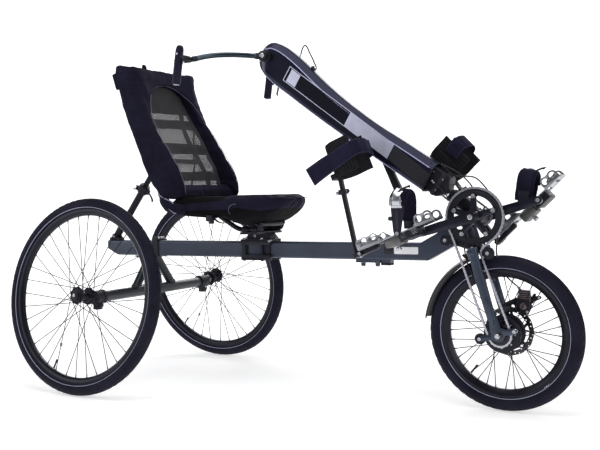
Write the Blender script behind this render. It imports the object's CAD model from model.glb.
import math
import random

import bmesh
import bpy
from mathutils import Matrix, Vector, noise


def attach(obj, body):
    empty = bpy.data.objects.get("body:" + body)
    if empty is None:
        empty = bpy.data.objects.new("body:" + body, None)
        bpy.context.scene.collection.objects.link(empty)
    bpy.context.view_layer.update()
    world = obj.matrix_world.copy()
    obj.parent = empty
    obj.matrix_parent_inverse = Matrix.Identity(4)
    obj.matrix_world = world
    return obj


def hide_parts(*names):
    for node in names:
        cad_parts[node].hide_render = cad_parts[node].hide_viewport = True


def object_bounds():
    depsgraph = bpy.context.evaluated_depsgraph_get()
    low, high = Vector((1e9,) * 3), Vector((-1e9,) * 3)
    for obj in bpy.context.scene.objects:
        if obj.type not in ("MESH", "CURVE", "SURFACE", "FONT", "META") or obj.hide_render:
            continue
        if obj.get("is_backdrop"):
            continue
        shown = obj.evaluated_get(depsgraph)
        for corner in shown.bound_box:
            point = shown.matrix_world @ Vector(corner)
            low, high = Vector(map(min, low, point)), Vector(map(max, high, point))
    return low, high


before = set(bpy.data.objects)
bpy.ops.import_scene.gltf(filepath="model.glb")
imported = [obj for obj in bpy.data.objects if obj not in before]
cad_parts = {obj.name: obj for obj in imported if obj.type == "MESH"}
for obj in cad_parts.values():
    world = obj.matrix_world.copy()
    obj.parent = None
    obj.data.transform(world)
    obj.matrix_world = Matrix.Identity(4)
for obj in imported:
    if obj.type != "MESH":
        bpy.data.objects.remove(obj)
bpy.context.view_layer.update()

# Lengths are metres. A station is millimetres ahead of the rear axle, a height millimetres above the floor.
REAR = -0.654
CAMBER = math.radians(8.7)
HEAD = math.radians(17.6)


def at(station, y, z):
    return Vector((station / 1000 + REAR, y / 1000, z / 1000))


# ------------------------------------------------------------------ camera
def camera():
    yaw, pitch, roll = 0.5625, 0.0286, -0.0224
    fw = Vector((-math.sin(yaw) * math.cos(pitch), math.cos(yaw) * math.cos(pitch), -math.sin(pitch)))
    right = Vector((math.cos(yaw), math.sin(yaw), 0))
    up = right.cross(fw)
    r2 = right * math.cos(roll) + up * math.sin(roll)
    u2 = up * math.cos(roll) - right * math.sin(roll)
    data = bpy.data.cameras.new("camera")
    data.sensor_fit = "HORIZONTAL"
    data.sensor_width = 36.0
    data.lens = 895.5612 * 36.0 / 600.0
    data.shift_x = (300.0 - 261.1229) / 600.0
    data.shift_y = (223.7698 - 225.0) / 600.0
    cam = bpy.data.objects.new("camera", data)
    bpy.context.scene.collection.objects.link(cam)
    rot = Matrix((r2, u2, -fw)).transposed()
    cam.matrix_world = Matrix.Translation(Vector((2.27763 + REAR, -2.79737, 0.69122))) @ rot.to_4x4()
    bpy.context.scene.camera = cam


camera()


# ------------------------------------------------------------------ materials
def nodes_of(name):
    m = bpy.data.materials.new(name)
    m.use_nodes = True
    t = m.node_tree
    b = t.nodes["Principled BSDF"]
    return m, t, b


def coords(t, scale=1.0):
    tc = t.nodes.new("ShaderNodeTexCoord")
    mp = t.nodes.new("ShaderNodeMapping")
    mp.inputs["Scale"].default_value = (scale, scale, scale) if isinstance(scale, (int, float)) else scale
    t.links.new(tc.outputs["Object"], mp.inputs["Vector"])
    return mp.outputs["Vector"]


def noise_tex(t, vec, scale, detail=3.0, rough=0.55):
    n = t.nodes.new("ShaderNodeTexNoise")
    n.inputs["Scale"].default_value = scale
    n.inputs["Detail"].default_value = detail
    n.inputs["Roughness"].default_value = rough
    t.links.new(vec, n.inputs["Vector"])
    return n.outputs["Fac"]


def ramp(t, fac, stops):
    r = t.nodes.new("ShaderNodeValToRGB")
    el = r.color_ramp.elements
    while len(el) < len(stops):
        el.new(0.5)
    for e, (p, c) in zip(el, stops):
        e.position = p
        e.color = (*c, 1) if len(c) == 3 else c
    t.links.new(fac, r.inputs["Fac"])
    return r.outputs["Color"]


def bump(t, b, height, strength, distance, normal=None):
    n = t.nodes.new("ShaderNodeBump")
    n.inputs["Strength"].default_value = strength
    n.inputs["Distance"].default_value = distance
    t.links.new(height, n.inputs["Height"])
    if normal is not None:
        t.links.new(normal, n.inputs["Normal"])
    t.links.new(n.outputs["Normal"], b.inputs["Normal"])
    return n.outputs["Normal"]


def spread(t, fac, lo, hi):
    m = t.nodes.new("ShaderNodeMapRange")
    m.inputs["To Min"].default_value = lo
    m.inputs["To Max"].default_value = hi
    t.links.new(fac, m.inputs["Value"])
    return m.outputs["Result"]


def mix(t, fac, a, b, mode="MIX"):
    m = t.nodes.new("ShaderNodeMix")
    m.data_type = "RGBA"
    m.blend_type = mode
    if isinstance(fac, (int, float)):
        m.inputs[0].default_value = fac
    else:
        t.links.new(fac, m.inputs[0])
    for sock, v in ((m.inputs[6], a), (m.inputs[7], b)):
        if isinstance(v, tuple):
            sock.default_value = (*v, 1)
        else:
            t.links.new(v, sock)
    return m.outputs[2]


def math_node(t, op, a, b=None):
    m = t.nodes.new("ShaderNodeMath")
    m.operation = op
    for i, v in enumerate((a, b)):
        if v is None:
            continue
        if isinstance(v, (int, float)):
            m.inputs[i].default_value = v
        else:
            t.links.new(v, m.inputs[i])
    return m.outputs[0]


def edge_wear(t):
    """Lighter where the surface turns outward."""
    g = t.nodes.new("ShaderNodeNewGeometry")
    return ramp(t, g.outputs["Pointiness"], [(0.515, (0, 0, 0)), (0.60, (1, 1, 1))])


def metal_paint(name, dark, light, rough=0.3, coat=0.6, metallic=0.55, dust=0.05):
    m, t, b = nodes_of(name)
    v = coords(t)
    broad = noise_tex(t, v, 7.0, 3)
    flakes = noise_tex(t, v, 2600.0, 1)
    base = ramp(t, broad, [(0.3, dark), (0.7, light)])
    base = mix(t, spread(t, flakes, 0.0, 0.35), base, tuple(min(1, c * 2.1 + 0.02) for c in light))
    wear = edge_wear(t)
    base = mix(t, math_node(t, "MULTIPLY", wear, dust), base, (0.55, 0.57, 0.62))
    t.links.new(base, b.inputs["Base Color"])
    t.links.new(spread(t, noise_tex(t, v, 24.0, 4), rough * 0.8, rough * 1.3), b.inputs["Roughness"])
    b.inputs["Metallic"].default_value = metallic
    b.inputs["Coat Weight"].default_value = coat
    b.inputs["Coat Roughness"].default_value = 0.10
    b.inputs["Coat IOR"].default_value = 1.35
    b.inputs["Specular IOR Level"].default_value = 0.3
    bump(t, b, noise_tex(t, v, 420.0, 2), 0.05, 0.0002)
    return m


def satin(name, colour, rough=0.42, grain=900.0, depth=0.18, metallic=0.0, coat=0.15, lift=0.012):
    """Powder coat or moulded plastic: fine grain, slight tone drift, paler edges."""
    m, t, b = nodes_of(name)
    v = coords(t)
    light = tuple(min(1, c * 1.6 + lift) for c in colour)
    base = ramp(t, noise_tex(t, v, 14.0, 4), [(0.3, colour), (0.75, light)])
    base = mix(t, math_node(t, "MULTIPLY", edge_wear(t), 0.25), base, tuple(min(1, c * 3 + 0.05) for c in colour))
    t.links.new(base, b.inputs["Base Color"])
    t.links.new(spread(t, noise_tex(t, v, 40.0, 3), rough * 0.8, min(1, rough * 1.25)), b.inputs["Roughness"])
    b.inputs["Metallic"].default_value = metallic
    b.inputs["Coat Weight"].default_value = coat
    b.inputs["Coat Roughness"].default_value = 0.3
    b.inputs["Coat IOR"].default_value = 1.3
    b.inputs["Specular IOR Level"].default_value = 0.28
    b.inputs["Specular Tint"].default_value = (0.78, 0.80, 1.0, 1)
    bump(t, b, noise_tex(t, v, grain, 2), depth * 0.6, 0.0002)
    return m


def gloss(name, dark, light, rough=0.12):
    m, t, b = nodes_of(name)
    v = coords(t)
    base = ramp(t, noise_tex(t, v, 5.0, 2), [(0.3, dark), (0.7, light)])
    t.links.new(base, b.inputs["Base Color"])
    t.links.new(spread(t, noise_tex(t, v, 20.0, 2), rough * 0.85, rough * 1.25), b.inputs["Roughness"])
    b.inputs["Coat Weight"].default_value = 0.5
    b.inputs["Coat Roughness"].default_value = 0.06
    b.inputs["Coat IOR"].default_value = 1.35
    b.inputs["Specular IOR Level"].default_value = 0.5
    b.inputs["Specular Tint"].default_value = (0.62, 0.66, 1.0, 1)
    bump(t, b, noise_tex(t, v, 5.0, 1), 0.012, 0.0006)
    if name == "mast_facet":
        b.inputs["Specular IOR Level"].default_value = 0.22
        b.inputs["Coat Weight"].default_value = 0.12
    return m


def metal(name, colour, rough=0.3, brushed=0.35, stretch=(8, 8, 900), dirt=0.25):
    """Bare metal: fine brushing along one direction, darker in hollows."""
    m, t, b = nodes_of(name)
    v = coords(t)
    lines = noise_tex(t, coords(t, stretch), 1.0, 3)
    base = ramp(t, lines, [(0.25, tuple(c * 0.78 for c in colour)), (0.75, colour)])
    g = t.nodes.new("ShaderNodeNewGeometry")
    hollow = ramp(t, g.outputs["Pointiness"], [(0.40, (1, 1, 1)), (0.49, (0, 0, 0))])
    base = mix(t, math_node(t, "MULTIPLY", hollow, dirt), base, (0.03, 0.03, 0.035))
    t.links.new(base, b.inputs["Base Color"])
    b.inputs["Metallic"].default_value = 1.0
    t.links.new(spread(t, noise_tex(t, v, 60.0, 4), rough * 0.75, min(1, rough * 1.35)), b.inputs["Roughness"])
    bump(t, b, lines, brushed * 0.3, 0.0002)
    return m


def rubber(name, colour, rough=0.75, grain=500.0, depth=0.3, scuff=0.12):
    m, t, b = nodes_of(name)
    v = coords(t)
    base = ramp(t, noise_tex(t, v, 11.0, 5), [(0.3, colour), (0.75, tuple(c * 1.9 + 0.004 for c in colour))])
    base = mix(t, math_node(t, "MULTIPLY", edge_wear(t), scuff), base, (0.09, 0.09, 0.095))
    t.links.new(base, b.inputs["Base Color"])
    t.links.new(spread(t, noise_tex(t, v, 35.0, 4), rough * 0.85, min(1, rough * 1.15)), b.inputs["Roughness"])
    b.inputs["Specular IOR Level"].default_value = 0.16
    b.inputs["Specular Tint"].default_value = (0.75, 0.77, 1.0, 1)
    bump(t, b, noise_tex(t, v, grain, 3), depth, 0.0003)
    return m


def woven(name, colour, light, pitch=900.0, axes=("Y", "Z"), rough=0.85, depth=0.5, sheen=0.25):
    """Plain-woven nylon: two crossed sets of threads, drifting tone, soft nap."""
    m, t, b = nodes_of(name)
    v = coords(t)
    waves = []
    for ax in axes:
        w = t.nodes.new("ShaderNodeTexWave")
        w.wave_type = "BANDS"
        w.bands_direction = ax
        w.inputs["Scale"].default_value = pitch / 20.0
        w.inputs["Distortion"].default_value = 0.6
        w.inputs["Detail"].default_value = 1.0
        w.inputs["Detail Scale"].default_value = 0.4
        t.links.new(v, w.inputs["Vector"])
        waves.append(w.outputs["Fac"])
    weave = math_node(t, "MULTIPLY", waves[0], waves[1])
    drift = noise_tex(t, v, 9.0, 5)
    base = ramp(t, drift, [(0.32, colour), (0.72, light)])
    base = mix(t, spread(t, weave, 0.0, 0.22), base, tuple(min(1, c * 1.9 + 0.006) for c in light))
    t.links.new(base, b.inputs["Base Color"])
    t.links.new(spread(t, noise_tex(t, v, 160.0, 2), rough * 0.88, min(1, rough * 1.1)), b.inputs["Roughness"])
    b.inputs["Sheen Weight"].default_value = sheen
    b.inputs["Sheen Roughness"].default_value = 0.45
    b.inputs["Sheen Tint"].default_value = (0.50, 0.50, 0.80, 1)
    b.inputs["Specular IOR Level"].default_value = 0.10
    first = t.nodes.new("ShaderNodeBump")
    first.inputs["Strength"].default_value = 0.35
    first.inputs["Distance"].default_value = 0.004
    t.links.new(noise_tex(t, v, 26.0, 3), first.inputs["Height"])
    bump(t, b, weave, depth, 0.0003, first.outputs["Normal"])
    return m


MAT = {
    "frame_paint": metal_paint("frame_paint", (0.020, 0.027, 0.043), (0.042, 0.052, 0.083), rough=0.32, coat=0.4, metallic=0.6),
    "fork_paint": metal_paint("fork_paint", (0.017, 0.026, 0.042), (0.040, 0.054, 0.086), rough=0.30, coat=0.4, metallic=0.55),
    "beam_paint": metal_paint("beam_paint", (0.0070, 0.0095, 0.0130), (0.0130, 0.0170, 0.0210), rough=0.34, coat=0.3, metallic=0.5),
    "black_metal": satin("black_powder_coat", (0.0038, 0.0038, 0.0062), rough=0.42, coat=0.08, lift=0.003),
    "rim": satin("black_anodised_rim", (0.005, 0.005, 0.008), rough=0.30, grain=1400.0, depth=0.06, metallic=0.2, coat=0.2, lift=0.003),
    "gloss_black": gloss("mast_gloss_black", (0.004, 0.004, 0.009), (0.008, 0.0075, 0.019), rough=0.16),
    "black_plastic": satin("black_plastic", (0.007, 0.007, 0.011), rough=0.42, grain=1100.0, depth=0.25, coat=0.0, lift=0.004),
    "alloy": metal("satin_alloy", (0.60, 0.61, 0.66), rough=0.34),
    "arm_alloy": metal("arm_alloy", (0.060, 0.078, 0.098), rough=0.20, brushed=0.0, stretch=(20, 20, 20), dirt=0.1),
    "steel": metal("plated_steel", (0.62, 0.63, 0.68), rough=0.22, stretch=(300, 300, 300)),
    "spoke_steel": metal("spoke_steel", (0.022, 0.022, 0.030), rough=0.45, stretch=(300, 300, 300), dirt=0.0),
    "chain": metal("chain_steel", (0.58, 0.58, 0.66), rough=0.28, stretch=(400, 400, 400), dirt=0.45),
    "tyre": rubber("tyre_rubber", (0.0060, 0.0055, 0.0122), rough=0.62, scuff=0.06),
    "grip": rubber("grip_rubber", (0.0100, 0.0092, 0.0215), rough=0.52, grain=800.0, depth=0.35, scuff=0.06),
    "fabric": woven("seat_nylon", (0.0055, 0.0048, 0.0118), (0.0125, 0.0110, 0.0275), pitch=2600.0, sheen=0.05),
    "strap": woven("strap_webbing", (0.0055, 0.0055, 0.0130), (0.0120, 0.0120, 0.0280), pitch=2400.0, depth=0.5, sheen=0.05),
    "crank": metal_paint("crank_anodised", (0.0060, 0.0060, 0.0120), (0.0120, 0.0115, 0.0260), rough=0.30, coat=0.2, metallic=0.5, dust=0.05),
    "guard_black": satin("mudguard_black", (0.0035, 0.0035, 0.0055), rough=0.34, grain=1200.0, depth=0.05, coat=0.05, lift=0.002),
    "foot_alloy": metal("footplate_alloy", (0.40, 0.41, 0.45), rough=0.24, stretch=(8, 300, 8), dirt=0.3),
    "sprocket_steel": metal("sprocket_steel", (0.050, 0.050, 0.056), rough=0.34, stretch=(300, 300, 300), dirt=0.3),
    "mast_facet": gloss("mast_facet", (0.0045, 0.0045, 0.0200), (0.0095, 0.0090, 0.0360), rough=0.30),
    "edge_line": satin("edge_highlight", (0.34, 0.35, 0.62), rough=0.3, grain=2400.0, depth=0.05, coat=0.3),
    "dark_steel": metal("dark_steel", (0.085, 0.085, 0.095), rough=0.30, stretch=(300, 300, 300), dirt=0.2),
    "calf_strap": woven("calf_strap_band", (0.0072, 0.0070, 0.0190), (0.0138, 0.0132, 0.0350), pitch=2800.0, depth=0.35, sheen=0.08),
    "caliper_grey": metal("caliper_grey", (0.20, 0.19, 0.22), rough=0.4, stretch=(300, 300, 300)),
    "slide_grey": metal("slide_grey", (0.22, 0.215, 0.215), rough=0.5, stretch=(900, 8, 8), dirt=0.1),
    "strap_shell": satin("strap_shell", (0.006, 0.006, 0.013), rough=0.34, grain=1500.0, depth=0.10, coat=0.15, lift=0.004),
    "calf_fabric": woven("calf_rest_fabric", (0.0095, 0.0093, 0.0112), (0.0185, 0.0180, 0.0215), pitch=2600.0, depth=0.4, sheen=0.05),
    "thread": satin("stitch_thread", (0.030, 0.030, 0.048), rough=0.6, grain=3000.0, depth=0.4, coat=0.0),
    "cable": satin("cable_housing", (0.008, 0.008, 0.010), rough=0.35, grain=1600.0, depth=0.08, coat=0.3),
}

CAD_MATERIALS = {
    "frame_paint": "main_frame frame_bracket",
    "beam_paint": "rear_axle_beam",
    "fork_paint": "front_fork",
    "black_metal": "axle_end_brackets seat_mount seat_frame seat_strut steering_stem mast_column mast_strut chain_guide "
                   "brake_caliper front_hub rear_hub_right rear_hub_left foot_crank_right foot_crank_left "
                   "calf_post_right calf_post_left chainring tube_collar",
    "rim": "rear_rim_right rear_rim_left front_rim",
    "black_plastic": "guide_rollers mudguard",
    "alloy": "footplate_right footplate_left",
    "arm_alloy": "hand_crank_right hand_crank_left brake_lever",
    "dark_steel": "brake_disc",
    "steel": "rear_stub_axles front_axle chain_tensioner front_sprocket timing_ring crank_spindle hand_crank_axle",
    "spoke_steel": "front_spokes rear_spokes_right rear_spokes_left",
    "chain": "drive_chain timing_chain",
    "tyre": "rear_tyre_right rear_tyre_left front_tyre",
    "grip": "hand_grip_right hand_grip_left",
    "fabric": "seat_back seat_cushion",
    "strap": "ankle_strap_right ankle_strap_left calf_shell_right calf_shell_left",
    "gloss_black": "mast_cover",
    "cable": "control_cables",
}
for key, names in CAD_MATERIALS.items():
    for n in names.split():
        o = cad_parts[n]
        o.data.materials.clear()
        o.data.materials.append(MAT[key])


# ------------------------------------------------------------------ mesh helpers
def new_object(name, verts, faces, mat, smooth=True):
    me = bpy.data.meshes.new(name)
    me.from_pydata([tuple(v) for v in verts], [], faces)
    me.validate()
    bm = bmesh.new()
    bm.from_mesh(me)
    bmesh.ops.recalc_face_normals(bm, faces=bm.faces)
    bm.to_mesh(me)
    bm.free()
    o = bpy.data.objects.new(name, me)
    bpy.context.scene.collection.objects.link(o)
    if mat is not None:
        me.materials.append(MAT[mat] if isinstance(mat, str) else mat)
    if smooth:
        for p in me.polygons:
            p.use_smooth = True
    return o


def apply_mods(o):
    """Applies every modifier and keeps the result as the object's mesh."""
    dg = bpy.context.evaluated_depsgraph_get()
    bpy.context.view_layer.update()
    me = bpy.data.meshes.new_from_object(o.evaluated_get(dg), depsgraph=dg)
    o.modifiers.clear()
    o.data = me
    return o


def soften(o, width, segments=2, angle=35, auto=40):
    b = o.modifiers.new("b", "BEVEL")
    b.width = width
    b.segments = segments
    b.limit_method = "ANGLE"
    b.angle_limit = math.radians(angle)
    b.harden_normals = False
    apply_mods(o)
    return o


def smooth_by_angle(o, angle=35):
    """Smooth shading, with edges over the angle kept sharp."""
    me = o.data
    bm = bmesh.new()
    bm.from_mesh(me)
    lim = math.radians(angle)
    for f in bm.faces:
        f.smooth = True
    for e in bm.edges:
        e.smooth = not (len(e.link_faces) == 2 and e.calc_face_angle(0) > lim)
    bm.to_mesh(me)
    bm.free()
    return o


def join(name, parts):
    """Several mesh objects made one, with their own materials kept."""
    mats, verts, faces, idx, smooth, sharp = [], [], [], [], [], set()
    for o in parts:
        base = len(verts)
        mw = o.matrix_world
        verts += [mw @ v.co for v in o.data.vertices]
        slots = []
        for m in o.data.materials:
            if m not in mats:
                mats.append(m)
            slots.append(mats.index(m))
        sharp |= {tuple(sorted((base + e.vertices[0], base + e.vertices[1]))) for e in o.data.edges if e.use_edge_sharp}
        for p in o.data.polygons:
            faces.append([base + i for i in p.vertices])
            idx.append(slots[p.material_index] if slots else 0)
            smooth.append(p.use_smooth)
    me = bpy.data.meshes.new(name)
    me.from_pydata([tuple(v) for v in verts], [], faces)
    for m in mats:
        me.materials.append(m)
    me.polygons.foreach_set("material_index", idx)
    me.polygons.foreach_set("use_smooth", smooth)
    if sharp:
        for e in me.edges:
            if tuple(sorted(e.vertices)) in sharp:
                e.use_edge_sharp = True
    me.update()
    for o in parts:
        old = o.data
        bpy.data.objects.remove(o)
        if old.users == 0:
            bpy.data.meshes.remove(old)
    o = bpy.data.objects.new(name, me)
    bpy.context.scene.collection.objects.link(o)
    return o


def frames_along(points, closed=False, up=Vector((0, 0, 1))):
    """Parallel-transported (point, tangent, normal, binormal)."""
    n = len(points)
    out = []
    prev = None
    for i, p in enumerate(points):
        a = points[(i - 1) % n] if closed or i else points[i]
        b = points[(i + 1) % n] if closed or i < n - 1 else points[i]
        t = (b - a).normalized()
        if prev is None:
            ref = up if abs(t.dot(up)) < 0.95 else Vector((0, 1, 0))
            nrm = (ref - t * ref.dot(t)).normalized()
        else:
            nrm = (prev - t * prev.dot(t)).normalized()
        prev = nrm
        out.append((p, t, nrm, t.cross(nrm)))
    return out


def curve_points(ctrl, per=8, closed=False):
    """Points on a centripetal-like smooth curve through the control points."""
    n = len(ctrl)
    out = []
    last = n if closed else n - 1
    for i in range(last):
        p0 = ctrl[(i - 1) % n] if closed or i > 0 else ctrl[0] * 2 - ctrl[1]
        p1, p2 = ctrl[i], ctrl[(i + 1) % n]
        p3 = ctrl[(i + 2) % n] if closed or i + 2 < n else ctrl[-1] * 2 - ctrl[-2]
        for k in range(per):
            u = k / per
            out.append(0.5 * ((p1 * 2) + (p2 - p0) * u + (p0 * 2 - p1 * 5 + p2 * 4 - p3) * u * u
                              + (p1 * 3 - p0 - p2 * 3 + p3) * u ** 3))
    if not closed:
        out.append(ctrl[-1].copy())
    return out


def section_sweep(name, points, sections, mat, closed=False, caps=True, up=Vector((0, 0, 1)), smooth=True):
    """Sweeps 2-D sections (list of (n, b) pairs, or one for each point) along points."""
    fr = frames_along(points, closed, up)
    single = isinstance(sections[0], tuple)
    verts, faces = [], []
    m = len(sections) if single else len(sections[0])
    for i, (p, t, n, b) in enumerate(fr):
        for u, v in (sections if single else sections[i]):
            verts.append(p + n * u + b * v)
    rows = len(fr)
    for i in range(rows if closed else rows - 1):
        for j in range(m):
            a, c = i * m + j, i * m + (j + 1) % m
            d, e = ((i + 1) % rows) * m + (j + 1) % m, ((i + 1) % rows) * m + j
            faces.append((a, c, d, e))
    if caps and not closed:
        faces.append(tuple(range(m - 1, -1, -1)))
        faces.append(tuple(range((rows - 1) * m, rows * m)))
    return new_object(name, verts, faces, mat, smooth)


def circle(r, seg=12, squeeze=1.0):
    return [(r * math.cos(2 * math.pi * k / seg), r * squeeze * math.sin(2 * math.pi * k / seg)) for k in range(seg)]


def tube(name, points, r, mat, seg=12, closed=False, caps=True):
    return section_sweep(name, points, circle(r, seg), mat, closed, caps)


def rounded(w, h, r, per=3):
    """Rounded rectangle as (n, b) pairs: w along n, h along b."""
    out = []
    for cx, cy, a0 in ((w / 2 - r, h / 2 - r, 0), (-w / 2 + r, h / 2 - r, 90), (-w / 2 + r, -h / 2 + r, 180), (w / 2 - r, -h / 2 + r, 270)):
        for k in range(per + 1):
            a = math.radians(a0 + 90 * k / per)
            out.append((cx + r * math.cos(a), cy + r * math.sin(a)))
    return out


def lathe(name, profile, origin, axis, mat, seg=48, closed=False, start=None):
    """Turns (radius, along) pairs about an axis. closed joins the last pair to the first."""
    axis = axis.normalized()
    ref = start or (Vector((0, 0, 1)) if abs(axis.z) < 0.9 else Vector((1, 0, 0)))
    u = (ref - axis * ref.dot(axis)).normalized()
    v = axis.cross(u)
    verts, faces = [], []
    m = len(profile)
    for k in range(seg):
        a = 2 * math.pi * k / seg
        d = u * math.cos(a) + v * math.sin(a)
        for r, s in profile:
            verts.append(origin + axis * s + d * r)
    for k in range(seg):
        for j in range(m if closed else m - 1):
            a, b = k * m + j, k * m + (j + 1) % m
            c, e = ((k + 1) % seg) * m + (j + 1) % m, ((k + 1) % seg) * m + j
            faces.append((a, b, c, e))
    if not closed:
        faces.append(tuple(k * m for k in range(seg)))
        faces.append(tuple(k * m + m - 1 for k in range(seg)))
    return new_object(name, verts, faces, mat)


def plate(name, outline, origin, u, v, thick, mat, holes=(), bevel=0.0, segments=2):
    """Flat plate from a 2-D outline in the u, v directions, centred on its thickness; holes are outlines."""
    w = u.cross(v).normalized()
    curve = bpy.data.curves.new(name, "CURVE")
    curve.dimensions = "2D"
    curve.fill_mode = "BOTH"
    for line in (outline, *holes):
        sp = curve.splines.new("POLY")
        sp.points.add(len(line) - 1)
        for p, (a, b) in zip(sp.points, line):
            p.co = (a, b, 0, 1)
        sp.use_cyclic_u = True
    curve.extrude = thick / 2
    tmp = bpy.data.objects.new(name, curve)
    bpy.context.scene.collection.objects.link(tmp)
    dg = bpy.context.evaluated_depsgraph_get()
    me = bpy.data.meshes.new_from_object(tmp.evaluated_get(dg), depsgraph=dg)
    bpy.data.objects.remove(tmp)
    bm = bmesh.new()
    bm.from_mesh(me)
    bmesh.ops.remove_doubles(bm, verts=bm.verts, dist=1e-6)
    bmesh.ops.recalc_face_normals(bm, faces=bm.faces)
    bm.to_mesh(me)
    bm.free()
    me.transform(Matrix((u, v, w)).transposed().to_4x4())
    me.transform(Matrix.Translation(origin))
    o = bpy.data.objects.new(name, me)
    bpy.context.scene.collection.objects.link(o)
    me.materials.clear()
    me.materials.append(MAT[mat] if isinstance(mat, str) else mat)
    if bevel:
        soften(o, bevel, segments)
    return smooth_by_angle(o, 40)


def ring_outline(cx, cy, r, seg=20):
    return [(cx + r * math.cos(2 * math.pi * k / seg), cy + r * math.sin(2 * math.pi * k / seg)) for k in range(seg)]


def bolt(name, p, axis, r, head, mat="steel", hexed=True):
    """Socket-head bolt: domed cylinder with a hexagonal recess."""
    seg = 24
    prof = [(0.0001, 0.0), (r, 0.0), (r, head * 0.75), (r * 0.9, head), (r * 0.55, head), (r * 0.5, head * 0.55), (0.0001, head * 0.5)]
    o = lathe(name, prof, p, axis, mat, seg)
    return smooth_by_angle(o, 45)


def block(name, lo, hi, mat, bevel=0.0015, segments=2):
    bm = bmesh.new()
    bmesh.ops.create_cube(bm, size=1.0)
    for v in bm.verts:
        v.co = Vector((lo[i] + (v.co[i] + 0.5) * (hi[i] - lo[i]) for i in range(3)))
    me = bpy.data.meshes.new(name)
    bm.to_mesh(me)
    bm.free()
    o = bpy.data.objects.new(name, me)
    bpy.context.scene.collection.objects.link(o)
    me.materials.append(MAT[mat] if isinstance(mat, str) else mat)
    soften(o, bevel, segments)
    return smooth_by_angle(o, 40)


def piece(o, body, slot, *replaced):
    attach(o, body)
    if replaced:
        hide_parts(*replaced)
    return o


# ------------------------------------------------------------------ wheels
def section_tyre(name, centre, axle, outer, sec, bead, tread_pitch, stripe, body):
    """Tyre: lathe with a cut tread, ribbed sidewall and a pale reflective stripe on both sides."""
    axle = axle.normalized()
    ref = Vector((1, 0, 0))
    u = (ref - axle * ref.dot(axle)).normalized()
    v = axle.cross(u)
    c0 = outer - sec
    m = 34
    lim = math.radians(141)
    phis = [-lim + 2 * lim * j / (m - 1) for j in range(m)]
    seg = int(round(2 * math.pi * outer / tread_pitch / 6)) * 6
    verts, faces, mats = [], [], []
    for k in range(seg):
        a = 2 * math.pi * k / seg
        d = u * math.cos(a) + v * math.sin(a)
        for j, phi in enumerate(phis):
            deg = abs(math.degrees(phi))
            r = sec - 0.0009
            if deg < 58:
                r += 0.0009
                if 7 < deg < 13:
                    r -= 0.0016
                elif deg >= 13:
                    lean = int((deg - 13) / 8.5)
                    if (k + (lean if phi > 0 else -lean) + (0 if phi > 0 else 3)) % 6 < 2:
                        r -= 0.0017
            elif deg < 64:
                r += 0.0004
            elif 80 < deg < 86:
                r += 0.0003
            rr = max(c0 + r * math.cos(phi), bead - 0.004)
            verts.append(centre + d * rr + axle * (r * math.sin(phi)))
    mid = (m - 1) / 2
    for k in range(seg):
        for j in range(m - 1):
            a, b = k * m + j, k * m + j + 1
            c, e = ((k + 1) % seg) * m + j + 1, ((k + 1) % seg) * m + j
            faces.append((a, b, c, e))
    for k in range(seg):                       # close the bead side, inside the rim
        a, b = k * m, k * m + m - 1
        c, e = ((k + 1) % seg) * m + m - 1, ((k + 1) % seg) * m
        faces.append((b, a, e, c))
    body_mesh = new_object(name + "_rubber", verts, faces, "tyre")
    smooth_by_angle(body_mesh, 28)
    parts = [body_mesh]
    for s in (1, -1):
        prof = []
        for r in (stripe - 0.0013, stripe - 0.0005, stripe + 0.0005, stripe + 0.0013):
            x = math.sqrt(max((sec - 0.0009) ** 2 - (r - c0) ** 2, 0))
            prof.append((r, s * (x + (0.0006 if abs(r - stripe) < 0.001 else -0.0003))))
        prof += [(stripe, s * (math.sqrt((sec - 0.0009) ** 2 - (stripe - c0) ** 2) - 0.003))]
        parts.append(lathe(name + "_stripe", prof, centre, axle, "stripe", 120, closed=True, start=ref))
    return piece(join(name, parts), body, "tyre", name.replace("_visual", ""))


def rim_mesh(name, centre, axle, profile, body, valve_at, count, hub_side, bead_r, inner_r, labels):
    ref = Vector((1, 0, 0))
    axle = axle.normalized()
    u = (ref - axle * ref.dot(axle)).normalized()
    v = axle.cross(u)
    parts = [smooth_by_angle(lathe(name + "_hoop", profile, centre, axle, "rim", 144, closed=True, start=ref), 30)]
    # spoke sockets round the inner face
    for i in range(count):
        a = 2 * math.pi * i / count
        s = 1 if i % 2 else -1
        d = u * math.cos(a) + v * math.sin(a)
        p = centre + d * (inner_r + 0.0005) + axle * (s * 0.0015)
        parts.append(lathe(name + "_socket", [(0.0001, 0.0), (0.0026, 0.0), (0.0026, 0.0012), (0.0018, 0.002), (0.0001, 0.002)], p, -d, "rim", 8))
    d = u * math.cos(valve_at) + v * math.sin(valve_at)
    p = centre + d * (inner_r - 0.001)
    parts.append(lathe(name + "_valve", [(0.0001, -0.004), (0.0042, -0.004), (0.0042, 0.002), (0.0032, 0.003), (0.003, 0.024), (0.0038, 0.025),
                                         (0.0038, 0.034), (0.0030, 0.036), (0.0001, 0.036)], p, -d, "black_plastic", 12))
    parts.append(lathe(name + "_valve_nut", [(0.0001, -0.001), (0.0052, -0.001), (0.0054, 0.0), (0.0054, 0.0016), (0.0046, 0.0024), (0.0001, 0.0026)], p, -d, "steel", 16))
    return piece(join(name, parts), body, "black_metal", name.replace("_visual", ""))


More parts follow.
